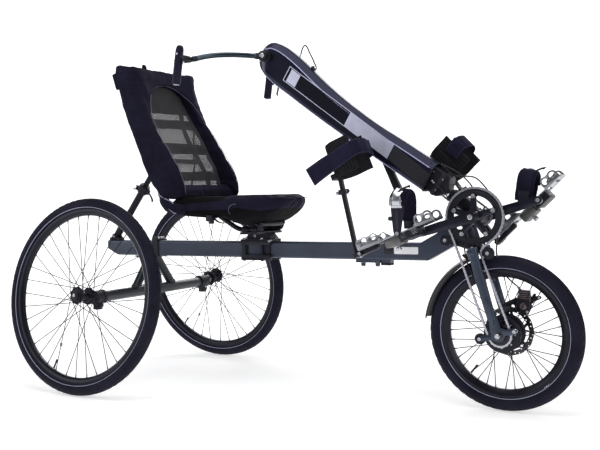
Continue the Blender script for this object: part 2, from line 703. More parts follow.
def spoke_set(name, centre, axle, hub_r, rim_r, flange, count, cross, body, tag=None):
    """Crossed, tangent-laced spokes with nipples; each ends bent through its flange."""
    axle = axle.normalized()
    ref = Vector((1, 0, 0))
    u = (ref - axle * ref.dot(axle)).normalized()
    v = axle.cross(u)

    def pt(r, a, w):
        return centre + (u * math.cos(a) + v * math.sin(a)) * r + axle * w

    parts, runs = [], []
    per_side = count // 2
    for i in range(count):
        s = 1 if i % 2 else -1
        j = i // 2
        rim_a = 2 * math.pi * i / count
        lead = 1 if j % 2 else -1
        hub_a = rim_a + lead * cross * 2 * math.pi / per_side
        w_hub = s * (flange + (0.0022 if lead > 0 else -0.0022))
        p, q = pt(hub_r, hub_a, w_hub), pt(rim_r, rim_a, s * 0.0015)
        head = pt(hub_r, hub_a, s * (flange + (-0.003 if lead > 0 else 0.003)))
        parts.append(tube(name + "_s", [head, p, p.lerp(q, 0.02), p.lerp(q, 0.5), q], 0.00135, "spoke_steel", 6))
        direction = (p - q).normalized()
        runs.append((p, q))
        parts.append(lathe(name + "_n", [(0.0001, -0.002), (0.0021, -0.002), (0.0021, 0.009), (0.0015, 0.0105), (0.0001, 0.0105)],
                           q, direction, "nipple", 8))
    if tag:
        # small clip on the spoke nearest the given place
        target = pt(tag[1], tag[0], 0.0)
        best = min(((p.lerp(q, k / 60), p, q) for p, q in runs for k in range(61)), key=lambda g: (g[0] - target).length)
        d = (best[2] - best[1]).normalized()
        parts.append(plate(name + "_clip", [(-.0062, -.0045), (.0062, -.0045), (.0062, .0045), (-.0062, .0045)], best[0], d, axle.cross(d).normalized(), .0046, "clip_grey", (), .0012, 2))
    return piece(join(name, parts), body, "black_metal", name.replace("_visual", ""))


hub_height = (356 - 23.5) * math.cos(CAMBER) + 23.5
MAT["clip_grey"] = satin("spoke_clip", (0.13, 0.115, 0.105), rough=0.5, grain=1800.0, depth=0.1, coat=0.0)
MAT["stripe"] = satin("reflective_stripe", (0.21, 0.22, 0.29), rough=0.45, grain=2500.0, depth=0.1, coat=0.0)
MAT["nipple"] = metal("brass_nipple", (0.16, 0.15, 0.14), rough=0.3, stretch=(300, 300, 300))

RIM_REAR = [(.3165, -.0110), (.3175, -.0120), (.3170, -.0128), (.3140, -.0130), (.3040, -.0126), (.3005, -.0112), (.2945, -.0062), (.2930, -.0045),
            (.2930, .0045), (.2945, .0062), (.3005, .0112), (.3040, .0126), (.3140, .0130), (.3170, .0128), (.3175, .0120), (.3165, .0110),
            (.3120, .0100), (.3100, .0060), (.3100, -.0060), (.3120, -.0100)]
for side_name, s in (("right", -1), ("left", 1)):
    c = at(0, s * 409, hub_height)
    ax = Vector((0, s * math.cos(CAMBER), math.sin(CAMBER)))
    b = f"rear_wheel_{side_name}"
    valve = math.radians(247.2 if s < 0 else 129.8)
    tag = (math.radians(253.5), .192) if s < 0 else (math.radians(115), .194)
    section_tyre(f"rear_tyre_{side_name}_visual", c, ax, 0.356, 0.0235, 0.314, 0.0052, 0.3215, b)
    rim_mesh(f"rear_rim_{side_name}_visual", c, ax, RIM_REAR, b, valve, 36, None, 0.314, 0.293, 2)
    spoke_set(f"rear_spokes_{side_name}_visual", c, ax, 0.0285, 0.2925, 0.031, 36, 3, b, tag)
    hub = lathe("hub_a", [(.0082, -.037), (.0115, -.037), (.0125, -.036), (.0195, -.0355), (.0200, -.0345), (.0200, -.0332), (.0305, -.0330),
                          (.0312, -.0322), (.0312, -.0298), (.0300, -.0290), (.0200, -.0270), (.0165, -.0240), (.0158, -.0180), (.0158, .0140),
                          (.0168, .0200), (.0205, .0235), (.0300, .0252), (.0312, .0260), (.0312, .0284), (.0302, .0292), (.0222, .0294),
                          (.0216, .0320), (.0200, .0335), (.0120, .0340), (.0082, .0340)], c, ax, "black_metal", 64, closed=True)
    smooth_by_angle(hub, 30)
    cap = lathe("hub_cap", [(.0001, .0338), (.0135, .0338), (.0150, .0360), (.0150, .0390), (.0125, .0420), (.0070, .0432), (.0001, .0434)],
                c, ax, "black_plastic", 40)
    push = lathe("hub_button", [(.0001, .0425), (.0062, .0425), (.0062, .0452), (.0052, .0462), (.0001, .0462)], c, ax, "steel", 24)
    lock = lathe("hub_lock", [(.0085, -.0385), (.0150, -.0385), (.0160, -.0375), (.0160, -.0368), (.0085, -.0368)], c, ax, "steel", 32, closed=True)
    piece(join(f"rear_hub_{side_name}_visual", [hub, cap, push, lock]), b, "black_metal", f"rear_hub_{side_name}")

front_c = at(1417, 0, 247)
Y = Vector((0, 1, 0))
RIM_FRONT = [(.2025, -.0130), (.2035, -.0142), (.2028, -.0152), (.1990, -.0155), (.1940, -.0150), (.1905, -.0128), (.1800, -.0066), (.1780, -.0048),
             (.1780, .0048), (.1800, .0066), (.1905, .0128), (.1940, .0150), (.1990, .0155), (.2028, .0152), (.2035, .0142), (.2025, .0130),
             (.1985, .0118), (.1965, .0070), (.1965, -.0070), (.1985, -.0118)]
section_tyre("front_tyre_visual", front_c, Y, 0.247, 0.0245, 0.203, 0.0050, 0.2068, "front_wheel")
rim_mesh("front_rim_visual", front_c, Y, RIM_FRONT, "front_wheel", math.radians(129.6), 36, None, 0.206, 0.178, 2)
spoke_set("front_spokes_visual", front_c, Y, 0.0555, 0.1775, 0.026, 36, 1, "front_wheel")

# drum hub: ribbed shell, cooling fins and bolts on the covers
shell = lathe("drum", [(.0062, -.042), (.0240, -.042), (.0262, -.0405), (.0290, -.0360), (.0310, -.0345), (.0500, -.0320), (.0535, -.0305), (.0552, -.0290),
                       (.0585, -.0284), (.0592, -.0276), (.0592, -.0244), (.0582, -.0236), (.0530, -.0215), (.0518, -.0190)]
              + [(.0518 - (.0010 if k % 2 else 0), -.0170 + k * .0034) for k in range(11)]
              + [(.0518, .0190), (.0530, .0215), (.0582, .0236), (.0592, .0244), (.0592, .0276), (.0585, .0284), (.0552, .0290), (.0535, .0305),
                 (.0500, .0330), (.0330, .0350), (.0300, .0370), (.0275, .0440), (.0258, .0460), (.0062, .0460)],
              front_c, Y, "black_metal", 96, closed=True)
smooth_by_angle(shell, 28)
hub_parts = [shell]
for i in range(8):
    a = 2 * math.pi * i / 8
    d = Vector((math.cos(a), 0, math.sin(a)))
    for s in (1, -1):
        hub_parts.append(bolt("hub_bolt", front_c + d * 0.043 + Y * (s * 0.0325), Y * s, 0.0028, 0.0024))
piece(join("front_hub_visual", hub_parts), "front_wheel", "black_metal", "front_hub")

# brake disc: wavy ring with rows of holes, six-arm carrier
outer_line = []
for k in range(120):
    a = 2 * math.pi * k / 120
    outer_line.append(((0.0792 + 0.0007 * math.cos(12 * a)) * math.cos(a), (0.0792 + 0.0007 * math.cos(12 * a)) * math.sin(a)))
inner_line = [((0.0632 + 0.0008 * math.cos(6 * a)) * math.cos(a), (0.0632 + 0.0008 * math.cos(6 * a)) * math.sin(a))
              for a in (2 * math.pi * k / 90 for k in range(90))]
holes = [inner_line]
for k in range(36):
    a = 2 * math.pi * (k + 0.5) / 36
    r = (0.0668, 0.0715, 0.0758)[k % 3]
    holes.append(ring_outline(r * math.cos(a), r * math.sin(a), 0.0020, 10))
disc_ring = plate("disc_ring", outer_line, front_c + Y * 0.0475, Vector((1, 0, 0)), Vector((0, 0, 1)), 0.0018, "dark_steel", holes)
carrier = []
for i in range(6):
    a = math.pi / 3 * i
    e = a + math.radians(25)
    carrier += [(0.021 * math.cos(a - .34), 0.021 * math.sin(a - .34)), (0.021 * math.cos(a + .2), 0.021 * math.sin(a + .2)),
                (0.045 * math.cos(a + .36), 0.045 * math.sin(a + .36)),
                (0.0655 * math.cos(e + .07), 0.0655 * math.sin(e + .07)), (0.0655 * math.cos(e - .07), 0.0655 * math.sin(e - .07)),
                (0.045 * math.cos(a + .10), 0.045 * math.sin(a + .10))]
spider = []
for i in range(6):
    spider.append(plate("disc_arm", carrier[6 * i:6 * i + 6], front_c + Y * 0.0475, Vector((1, 0, 0)), Vector((0, 0, 1)), 0.0017, "dark_steel"))
boss = lathe("disc_boss", [(.0065, .0466), (.0235, .0466), (.0235, .0484), (.0065, .0484)], front_c, Y, "dark_steel", 48, closed=True)
rivets = [bolt("disc_bolt", front_c + Vector((math.cos(a), 0, math.sin(a))) * 0.0205 + Y * 0.0484, Y, 0.0030, 0.0016)
          for a in (math.pi / 3 * i for i in range(6))]
piece(join("brake_disc_visual", [disc_ring, boss, *spider, *rivets]), "front_wheel", "steel", "brake_disc")


def sprocket(name, centre, pitch_r, teeth, y0, y1, bore, mat="steel", windows=0, phase=0.0):
    """Toothed ring in the plane across Y, teeth rounded between rollers."""
    line = []
    for k in range(teeth):
        for f, dr in ((-.5, -.0036), (-.30, -.0030), (-.16, .0010), (-.07, .0030), (.07, .0030), (.16, .0010), (.30, -.0030)):
            a = 2 * math.pi * (k + f) / teeth + phase
            line.append(((pitch_r + dr) * math.cos(a), (pitch_r + dr) * math.sin(a)))
    holes = [ring_outline(0, 0, bore, 48)]
    for k in range(windows):
        a = 2 * math.pi * (k + 0.5) / windows
        r = (bore + pitch_r) / 2
        holes.append(ring_outline(r * math.cos(a), r * math.sin(a), (pitch_r - bore) * 0.22, 14))
    return plate(name, line, centre + Y * ((y0 + y1) / 2000), Vector((1, 0, 0)), Vector((0, 0, 1)), (y1 - y0) / 1000, mat, holes, bevel=0.0004, segments=1)


cog = sprocket("cog", front_c, 0.0366, 18, -51.3, -48.7, 0.0150, mat="sprocket_steel")
cog_hub = lathe("cog_hub", [(.0062, -.0514), (.0135, -.0514), (.0150, -.0505), (.0150, -.0484), (.0205, -.0480), (.0205, -.0424), (.0062, -.0422)],
                front_c, Y, "black_metal", 40, closed=True)
piece(join("front_sprocket_visual", [cog, smooth_by_angle(cog_hub)]), "front_wheel", "steel", "front_sprocket")

# ------------------------------------------------------------------ mast
BB, HAND = (1341.0, 617.0), (578.0, 1200.0)
MAST_LEN = math.hypot(HAND[0] - BB[0], HAND[1] - BB[1])
UX, UZ = (HAND[0] - BB[0]) / MAST_LEN, (HAND[1] - BB[1]) / MAST_LEN


def mast(along, up, y=0.0):
    return at(BB[0] + UX * along + UZ * up, y, BB[1] + UZ * along - UX * up)


def rail(points, n):
    """n points evenly spaced along a smooth curve through (station, z) pairs."""
    c = curve_points([Vector((a, 0, b)) for a, b in points], 12)
    d = [0.0]
    for p, q in zip(c, c[1:]):
        d.append(d[-1] + (q - p).length)
    out, j = [], 0
    for k in range(n):
        s = d[-1] * k / (n - 1)
        while j < len(d) - 2 and d[j + 1] < s:
            j += 1
        f = (s - d[j]) / max(d[j + 1] - d[j], 1e-9)
        out.append(c[j].lerp(c[j + 1], min(max(f, 0), 1)))
    return out


LOWER = [(1164, 703), (1019, 802), (866, 907), (770, 975), (672, 1048), (606, 1098), (562, 1142), (543, 1178), (540, 1195)]
UPPER = [(1211, 791), (1100, 866), (990, 938), (880, 1021), (790, 1099), (715, 1172), (660, 1219), (622, 1243), (590, 1252), (560, 1240), (544, 1217), (540, 1195)]
rows = 74
low_rail, top_rail = rail(LOWER, rows), rail(UPPER, rows)


def cover_section(b, t, k):
    """Half section as (share of height, half width): flat side, shoulder, narrow crown."""
    h = (t - b).length
    end = min(1.0, (rows - 1 - k) / 7.0)
    w = math.sqrt(max(0.0, 1 - (1 - end) ** 2))
    side = 45.2
    sh = min(0.22, 24.0 / max(h, 1))
    pts = [(0.0, 0.0), (0.0, side - 12), (0.010, side - 7), (0.035, side - 2.6), (0.075, side - 0.4), (0.12, side), (0.30, side), (0.5, side),
           (1 - sh - 0.05, side), (1 - sh - 0.018, side - 0.3), (1 - sh, side - 1.2), (1 - sh + 0.012, side - 3.0), (1 - sh * 0.62, side - 10.5),
           (1 - sh * 0.32, side - 17.5), (1 - sh * 0.16, side - 21), (1 - sh * 0.07, side - 24.5), (1 - sh * 0.015, side - 30), (1.0, side - 37), (1.0, 0.0)]
    return [(f, y * (0.35 + 0.65 * w) if y else 0.0) for f, y in pts]


verts, faces = [], []
for k in range(rows):
    b, t = low_rail[k], top_rail[k]
    half = cover_section(b, t, k)
    ringpts = [(f, -y) for f, y in half[1:-1]] + [(1.0, 0.0)] + [(f, y) for f, y in reversed(half[1:-1])] + [(0.0, 0.0)]
    for f, y in ringpts:
        p = b.lerp(t, f)
        verts.append(at(p.x, y, p.z))
m = len(ringpts)
for k in range(rows - 1):
    for j in range(m):
        a, c = k * m + j, k * m + (j + 1) % m
        faces.append((a, c, c + m, a + m))
cover = new_object("cover_shell", verts, faces, "gloss_black")
sol = cover.modifiers.new("wall", "SOLIDIFY")
sol.thickness = 0.0028
sol.offset = -1
apply_mods(cover)
bm = bmesh.new()
bm.from_mesh(cover.data)
bmesh.ops.remove_doubles(bm, verts=bm.verts, dist=2e-5)
bmesh.ops.recalc_face_normals(bm, faces=bm.faces)
bm.to_mesh(cover.data)
bm.free()
smooth_by_angle(cover, 50)
# the sloping shoulders and crown are a bluer black than the flanks
cover.data.materials.append(MAT["mast_facet"])
for f in cover.data.polygons:
    across = f.normal.x * UZ - f.normal.z * UX
    if across > 0.30:
        f.material_index = 1

MAT["decal_silver"] = satin("decal_silver", (0.42, 0.43, 0.60), rough=0.36, grain=3000.0, depth=0.05, metallic=0.45, coat=0.3)
MAT["wrap_black"] = satin("matt_wrap", (0.0055, 0.0052, 0.0080), rough=0.6, grain=700.0, depth=0.4, coat=0.0, lift=0.003)
MAT["decal_black"] = gloss("decal_black", (0.004, 0.004, 0.006), (0.006, 0.006, 0.010), rough=0.16)
cover_parts = [cover]
# blank plates on both flanks: an outlined dark panel and a silver one
D = {"a": (678, 1156), "b": (647, 1109), "c": (1043, 813), "d": (1071, 859)}


def lerp2(p, q, f):
    return (p[0] + (q[0] - p[0]) * f, p[1] + (q[1] - p[1]) * f)


def quad(f0, f1, g0, g1):
    """Part of the panel: f along from its upper end, g across from its upper edge."""
    out = []
    for f, g in ((f0, g0), (f1, g0), (f1, g1), (f0, g1)):
        out.append(lerp2(lerp2(D["a"], D["d"], f), lerp2(D["b"], D["c"], f), g))
    return out


for s in (-1, 1):
    def panel(name, q, lift, mat):
        pts = [(p[0] / 1000 + REAR, p[1] / 1000) for p in q]
        return plate(name, pts, Vector((0, s * (0.0452 + lift), 0)), Vector((1, 0, 0)), Vector((0, 0, 1)), 0.0005, mat)
    cover_parts += [
        panel("plate_rim", quad(0, 1, 0, 1), 0.0001, "decal_silver"),
        panel("plate_dark", quad(0.006, 0.600, 0.045, 0.955), 0.0003, "decal_black"),
        panel("plate_wrap", [(1073, 857), (1046, 812), (1166, 716), (1191, 757)], 0.0001, "wrap_black"),
        panel("plate_end", quad(0.028, 0.115, 0.085, 0.915), 0.0005, "decal_silver"),
    ]
# silver clips and the rubber lip at the mouth
lip_pts = []
b, t = low_rail[0], top_rail[0]
for f, y in [(f, -y) for f, y in cover_section(b, t, 0)[1:-1]] + [(1.0, 0.0)] + [(f, y) for f, y in reversed(cover_section(b, t, 0)[1:-1])] + [(0.0, 0.0)]:
    p = b.lerp(t, f)
    lip_pts.append(at(p.x, y, p.z))
cover_parts.append(tube("mouth_lip", lip_pts, 0.0022, "black_plastic", 8, closed=True))
# rolled edges that catch the light along both flanks
for s in (-1, 1):
    for low in (False, True):
        edge = []
        for k in range(1, rows - 6, 2):
            b, t = low_rail[k], top_rail[k]
            sh = min(0.22, 24.0 / max((t - b).length, 1))
            p = b.lerp(t, 0.030 if low else 1 - sh + 0.002)
            edge.append(at(p.x, s * (42.6 if low else 44.2), p.z))
        cover_parts.append(tube("edge_bead", edge, 0.0012 if low else 0.0017, "edge_line", 8))
piece(join("mast_cover_visual", cover_parts), "front_end", "gloss_black", "mast_cover")


def soft_prism(name, outline, y0, y1, mat, bevel=0.004, segments=3, holes=()):
    """Extruded (station, z) outline between two y values, edges rounded."""
    pts = [(a / 1000 + REAR, b / 1000) for a, b in outline]
    hs = [[(a / 1000 + REAR, b / 1000) for a, b in h] for h in holes]
    return plate(name, pts, Vector((0, (y0 + y1) / 2000, 0)), Vector((1, 0, 0)), Vector((0, 0, 1)), abs(y1 - y0) / 1000, mat, hs, bevel, segments)


def m2(along, up):
    return (BB[0] + UX * along + UZ * up, BB[1] + UZ * along - UX * up)


# foot sleeve, seen below the cover's mouth, with its raised rail and clamp screws
sleeve = soft_prism("sleeve", [m2(122, 3), m2(150, -31), m2(400, -31), m2(400, 41), m2(300, 45), m2(212, 49), m2(146, 50)], -30, 30, "black_metal", 0.006, 4)
slim = soft_prism("slim", [m2(396, -19), m2(MAST_LEN - 6, -19), m2(MAST_LEN - 6, 19), m2(396, 19)], -19.5, 19.5, "black_metal", 0.004)
band = soft_prism("sleeve_band", [m2(158, -33), m2(172, -33), m2(172, 51), m2(158, 52)], -31.5, 31.5, "black_plastic", 0.002)
band2 = soft_prism("sleeve_band", [m2(222, -33), m2(229, -33), m2(229, 50.5), m2(222, 51)], -31.5, 31.5, "black_plastic", 0.001)
bearing = lathe("top_bearing", [(.0091, -.041), (.0192, -.041), (.0200, -.040), (.0200, .029), (.0192, .030), (.0091, .030)],
                at(HAND[0], 0, HAND[1]), Y, "black_metal", 48, closed=True)
smooth_by_angle(bearing)
screws = [bolt("sleeve_screw", mast(a, u, -30.0), -Y, 0.0035, 0.003) for a, u in ((160, -12), (160, 30), (200, -14), (200, 34))]
piece(join("mast_column_visual", [sleeve, slim, band, band2, bearing, *screws]), "front_end", "black_metal", "mast_column")

# strut from under the mast to the steered arm: ribbed channel section
strut_pts = [(1108, 569), (1140, 579), m2(374, -32), m2(413, -32)]
strut = soft_prism("strut", strut_pts, -10.8, 10.8, "black_metal", 0.0025)
u0, u1 = lerp2(strut_pts[0], strut_pts[1], .5), lerp2(strut_pts[2], strut_pts[3], .5)
sd = Vector((u1[0] - u0[0], 0, u1[1] - u0[1])).normalized()
sn = Vector((sd.z, 0, -sd.x))
ribs = []
for off in (-9, 0, 9):
    for y in (-11.0, 11.0):
        a = at(u0[0], y, u0[1]) + sn * (off / 1000) + sd * 0.01
        e = at(u1[0], y, u1[1]) + sn * (off / 1000) - sd * 0.012
        ribs.append(tube("strut_rib", [a, a.lerp(e, .5), e], 0.0016, "black_metal", 8))
ribs.append(bolt("strut_bolt", at(1124, -11, 588), -Y, 0.006, 0.004))
ribs.append(bolt("strut_bolt", at(u1[0] + 8, -11, u1[1] - 28), -Y, 0.005, 0.003))
piece(join("mast_strut_visual", [strut, *ribs]), "front_end", "black_metal", "mast_strut")

# ------------------------------------------------------------------ control cables
cable_runs = [
    [m2(236, 54.6) + (12,), m2(190, 55.5) + (12,), m2(150, 53.8) + (12,), (1318, 744, 16), (1350, 715, 22), (1378, 672, 30), (1393, 625, 42),
     (1391, 590, 50), (1379, 540, 60), (1374, 500, 64.5), (1381, 462, 66), (1398, 430, 64.5), (1424, 406, 57), (1452, 386, 50)],
    [(1196, 736, -35.5), (1232, 702, -35.5), (1262, 664, -35.5), (1286, 632, -35.5), (1297, 600, -35.5), (1299, 570, -35.5), (1300, 540, -35.5),
     (1304, 500, -35.5), (1312, 466, -35.5), (1330, 428, -36.5), (1350, 392, -39), (1370, 356, -50), (1386, 326, -57.5)],
    [(700, 1187, -12), (704, 1200, -11), (710, 1219, -9), (718, 1229, -7), (726, 1222, -4), (735, 1200, -1), (744, 1180, 2), (750, 1164, 4), (756, 1150, 5), (754, 1138, 4)],
]
cables = []
for run in cable_runs:
    pts = curve_points([at(a, y, b) for a, b, y in run], 6)
    cables.append(tube("housing", pts, 0.0024, "cable", 10))
    for p, q in ((pts[0], pts[2]), (pts[-1], pts[-3])):
        cables.append(lathe("ferrule", [(.0001, 0), (.0030, 0), (.0032, .0008), (.0032, .010), (.0026, .012), (.0001, .012)], p, q - p, "steel", 14))
# second housing beside the first where they arc out of the sleeve, and the top loop's free end
arc = curve_points([at(a, y, b) for a, b, y in ((1228, 786, -12), (1262, 768, -14), (1296, 745, -16), (1322, 716, -18), (1334, 690, -20))], 8)
cables.append(tube("housing", arc, 0.0024, "cable", 10))
end = curve_points([at(a, y, b) for a, b, y in ((738, 1156, 2), (760, 1150, -4), (786, 1146, -8), (798, 1132, -8), (784, 1118, -6))], 8)
cables.append(tube("inner_wire", end, 0.0010, "steel", 8))
cables.append(lathe("stop", [(.0001, 0), (.0058, 0), (.0062, .001), (.0062, .011), (.0048, .014), (.0001, .014)], at(748, 3, 1140), Vector((-.5, 0, .86)), "black_plastic", 20))
piece(join("control_cables_visual", cables), "front_end", "black_plastic", "control_cables")

# ------------------------------------------------------------------ hand cranks and grips
for side_name, s in (("right", -1), ("left", 1)):
    line = curve_points([at(562, s * 70, 1200), at(548, s * 86, 1200), at(530, s * 114, 1200.5), at(504, s * 158, 1199.5), at(474, s * 207, 1195),
                         at(448, s * 240, 1188.5), at(428, s * 264, 1181)], 8)
    arm_parts = [tube("arm_tube", line, 0.0092, "arm_alloy", 24)]
    hubp = at(HAND[0], 0, HAND[1])
    clamp = lathe("arm_clamp", [(.0091, .052), (.0160, .052), (.0170, .0532), (.0170, .0728), (.0160, .074), (.0091, .074)], hubp, Y * s, "black_metal", 40, closed=True)
    arm_parts.append(smooth_by_angle(clamp))
    arm_parts.append(smooth_by_angle(lathe("clamp_ear", [(.0001, -.010), (.0108, -.010), (.0116, -.009), (.0116, .010), (.0104, .012), (.0001, .012)],
                                           at(561, s * 68, 1200), Vector((-.6, s * .75, 0)), "black_metal", 32)))
    arm_parts.append(bolt("clamp_bolt", at(566, s * 63, 1186), Vector((0, 0, -1)), 0.0042, 0.005))
    # forged end with the grip's pivot
    g = at(412, 0, 1177)
    arm_parts.append(smooth_by_angle(lathe("arm_end", [(.0001, -.004), (.0085, -.004), (.0098, -.002), (.0098, .012), (.0086, .015), (.0001, .015)],
                                           at(428, s * 264, 1181), at(412, s * 284, 1177) - at(428, s * 264, 1181), "black_metal", 32)))
    arm_parts.append(smooth_by_angle(lathe("pivot", [(.0001, .272), (.0088, .272), (.0098, .274), (.0098, .2885), (.0088, .290), (.0058, .290), (.0058, .311), (.0050, .312),
                                                     (.0001, .312)], g, Y * s, "black_metal", 32)))
    b = "hand_cranks"
    piece(join(f"hand_crank_{side_name}_visual", arm_parts), b, "alloy", f"hand_crank_{side_name}")

    top, bottom = at(389, s * 301, 1228), at(367, s * 301, 1093)
    axis = (top - bottom).normalized()
    length = (top - bottom).length
    prof = [(.0001, .0005), (.0120, .0005), (.0138, .0015), (.0150, .0030), (.0156, .0060)]
    n = 34
    for k in range(n):
        zpos = .008 + (length * 0.56 - .008) * k / (n - 1)
        prof.append((.0156 - (.0011 if k % 2 else 0), zpos))
    prof += [(.0152, length * .57), (.0160, length * .585), (.0160, length * .60), (.0148, length * .615), (.0146, length * .80), (.0140, length * .88),
             (.0122, length * .945), (.0085, length * .985), (.0001, length - .0005)]
    grip = smooth_by_angle(lathe("grip_body", prof, bottom, axis, "grip", 40), 60)
    cap = lathe("grip_cap", [(.0001, -.0038), (.0060, -.0036), (.0096, -.0022), (.0104, .0006), (.0100, .0012), (.0001, .0012)], bottom, -axis * -1, "steel", 32)
    boltp = at(388, s * 301, 1196) - Vector((0, 0, 0))
    side_bolt = bolt("grip_bolt", at(386, s * (301 + 15), 1196), Y * s, 0.0036, 0.0030)
    side_in = bolt("grip_bolt", at(384.5, s * 301, 1197) + Vector((0.0145, 0, 0)), Vector((1, 0, 0)), 0.0030, 0.0022)
    socket = smooth_by_angle(lathe("grip_socket", [(.0061, -.018), (.0105, -.018), (.0118, -.0165), (.0118, .006), (.0110, .008), (.0061, .008)],
                                   at(412, s * 301, 1177), Y * s, "black_metal", 36, closed=True))
    bridge = soft_prism("grip_bridge", [(412, 1189.5), (381, 1190), (372, 1177), (381, 1164), (412, 1164.5)], s * 293.5, s * 308.5, "black_metal", 0.003,
                        holes=[ring_outline(412 , 1177, 6.1, 24)])
    names = [grip, cap, side_bolt, side_in, socket, bridge]
    piece(join(f"hand_grip_{side_name}_visual", names), f"grip_{side_name}", "grip_rubber", f"hand_grip_{side_name}")

# brake lever on the left grip: clamp, blade with a hooked tip, thumb knob
lever = [soft_prism("lever_clamp", [(350, 1181), (350, 1212), (396, 1212), (396, 1190), (388, 1150), (364, 1146)], 317.5, 331, "black_metal", 0.005)]
blade_line = curve_points([at(374, 324, 1196), at(392, 324, 1186), at(404, 324, 1170), at(408, 324, 1150), at(405, 324, 1128), at(400, 324, 1112), at(404, 324, 1105)], 8)
secs = []
for k in range(len(blade_line)):
    f = k / (len(blade_line) - 1)
    secs.append([(a * (0.0042 - 0.0012 * f) / 0.004, b2 * (0.0060 - 0.0015 * f) / 0.004) for a, b2 in circle(0.004, 12, 1.0)])
lever.append(section_sweep("lever_blade", blade_line, secs, "arm_alloy"))
lever.append(bolt("lever_pivot", at(374, 330, 1194), Y, 0.0045, 0.003))
lever.append(smooth_by_angle(lathe("thumb_knob", [(.0001, 0), (.0110, 0), (.0125, .002), (.0125, .012), (.0105, .015), (.0001, .0155)], at(402, 318, 1174), Vector((.9, 0, -.45)), "black_plastic", 32)))
piece(join("brake_lever_visual", lever), "grip_left", "alloy", "brake_lever")

# ------------------------------------------------------------------ seat
def interp(table, z):
    t = sorted(table)
    if z <= t[0][0]:
        return t[0][1]
    for (a, p), (b, q) in zip(t, t[1:]):
        if z <= b:
            f = (z - a) / (b - a)
            f = f * f * (3 - 2 * f) * 0.25 + f * 0.75
            return p + (q - p) * f
    return t[-1][1]


BACK_REAR = [(694, 216), (742, 203), (812, 180), (880, 142), (948, 107), (1010, 74), (1079, 49), (1140, 41), (1206, 36)]
BACK_FRONT = [(694, 300), (726, 308), (766, 299), (808, 281), (862, 247), (920, 209), (1013, 148), (1100, 112), (1150, 98), (1206, 84)]
BACK_SIDE = [(694, 206), (712, 184), (733, 164), (773, 139), (814, 117), (868, 94), (922, 70), (991, 40), (1061, 14), (1090, 7), (1115, 0), (1151, -11), (1206, -14)]
HALF_WINDOW = [(735, 168), (760, 172), (860, 172), (929, 171), (985, 163), (1025, 152), (1055, 139), (1080, 124), (1100, 104), (1117, 80), (1130, 50), (1138, 0)]


def cloth_puff(o, voxel, pressure, cap, frames=20, levels=1):
    """Fabric over foam: the closed form swells under light pressure, each point held within a cap."""
    rm = o.modifiers.new("remesh", "REMESH")
    rm.mode = "VOXEL"
    rm.voxel_size = voxel
    apply_mods(o)
    sm = o.modifiers.new("even", "SMOOTH")
    sm.factor = 0.5
    sm.iterations = 3
    apply_mods(o)
    rest = [v.co.copy() for v in o.data.vertices]
    c = o.modifiers.new("cloth", "CLOTH")
    c.settings.quality = 5
    c.settings.mass = 0.3
    c.settings.tension_stiffness = 12
    c.settings.compression_stiffness = 12
    c.settings.bending_stiffness = 0.6
    c.settings.use_pressure = True
    c.settings.uniform_pressure_force = pressure
    c.settings.effector_weights.gravity = 0
    c.collision_settings.use_collision = False
    sc = bpy.context.scene
    sc.frame_start, sc.frame_end = 1, frames
    c.point_cache.frame_start, c.point_cache.frame_end = 1, frames
    for f in range(1, frames + 1):
        sc.frame_set(f)
    apply_mods(o)
    sc.frame_set(1)
    for v, r in zip(o.data.vertices, rest):
        d = v.co - r
        if d.length > cap:
            v.co = r + d * (cap / d.length)
    if levels:
        sub = o.modifiers.new("sub", "SUBSURF")
        sub.levels = sub.render_levels = levels
        apply_mods(o)
    for p in o.data.polygons:
        p.use_smooth = True
    return o


def ripple(o, amount, scale, seed, axis_weight=(1, 1, 1)):
    """Small slack folds along the surface normal."""
    me = o.data
    nrm = [v.normal.copy() for v in me.vertices]
    off = Vector((seed * 3.7, seed * 1.3, seed * 2.1))
    for v, n in zip(me.vertices, nrm):
        p = Vector((v.co[i] * axis_weight[i] * scale for i in range(3))) + off
        v.co += n * (amount * noise.noise(p))
    return o


def back_wing(s):
    """Side bolster: loops across it at a run of heights."""
    verts, faces = [], []
    zs = [700 + (1196 - 700) * k / 26 for k in range(27)]
    for k, z in enumerate(zs):
        r, f = interp(BACK_REAR, z), interp(BACK_FRONT, z)
        yi = max(interp(HALF_WINDOW, min(z, 1137)), 118)
        crest = f - 3
        e = interp(BACK_SIDE, z) if s < 0 else max(interp(BACK_SIDE, z), r - 14)
        loop = [(r + 3, yi - 4), (r + 3, 168), (r - 4, 173), ((r + e) / 2, 175), (e + 4, 176), (e, 181), (e + 1, 189), (e + 7, 194), (r + 8, 195), (r + (f - r) * .5, 195), (crest - 9, 193), (crest - 2, 185),
                (crest, 176), (crest - 3, (yi + 168) / 2 + 3), (crest - 10, yi + 4), (r + (f - r) * .55, yi), (r + 24, yi - 5)]
        for a, y in loop:
            verts.append(at(a, s * y, z))
    m = len(loop)
    for k in range(len(zs) - 1):
        for j in range(m):
            faces.append((k * m + j, k * m + (j + 1) % m, (k + 1) * m + (j + 1) % m, (k + 1) * m + j))
    faces.append(tuple(range(m)))
    faces.append(tuple(range((len(zs) - 1) * m, len(zs) * m)))
    return new_object("wing", verts, faces, "fabric")


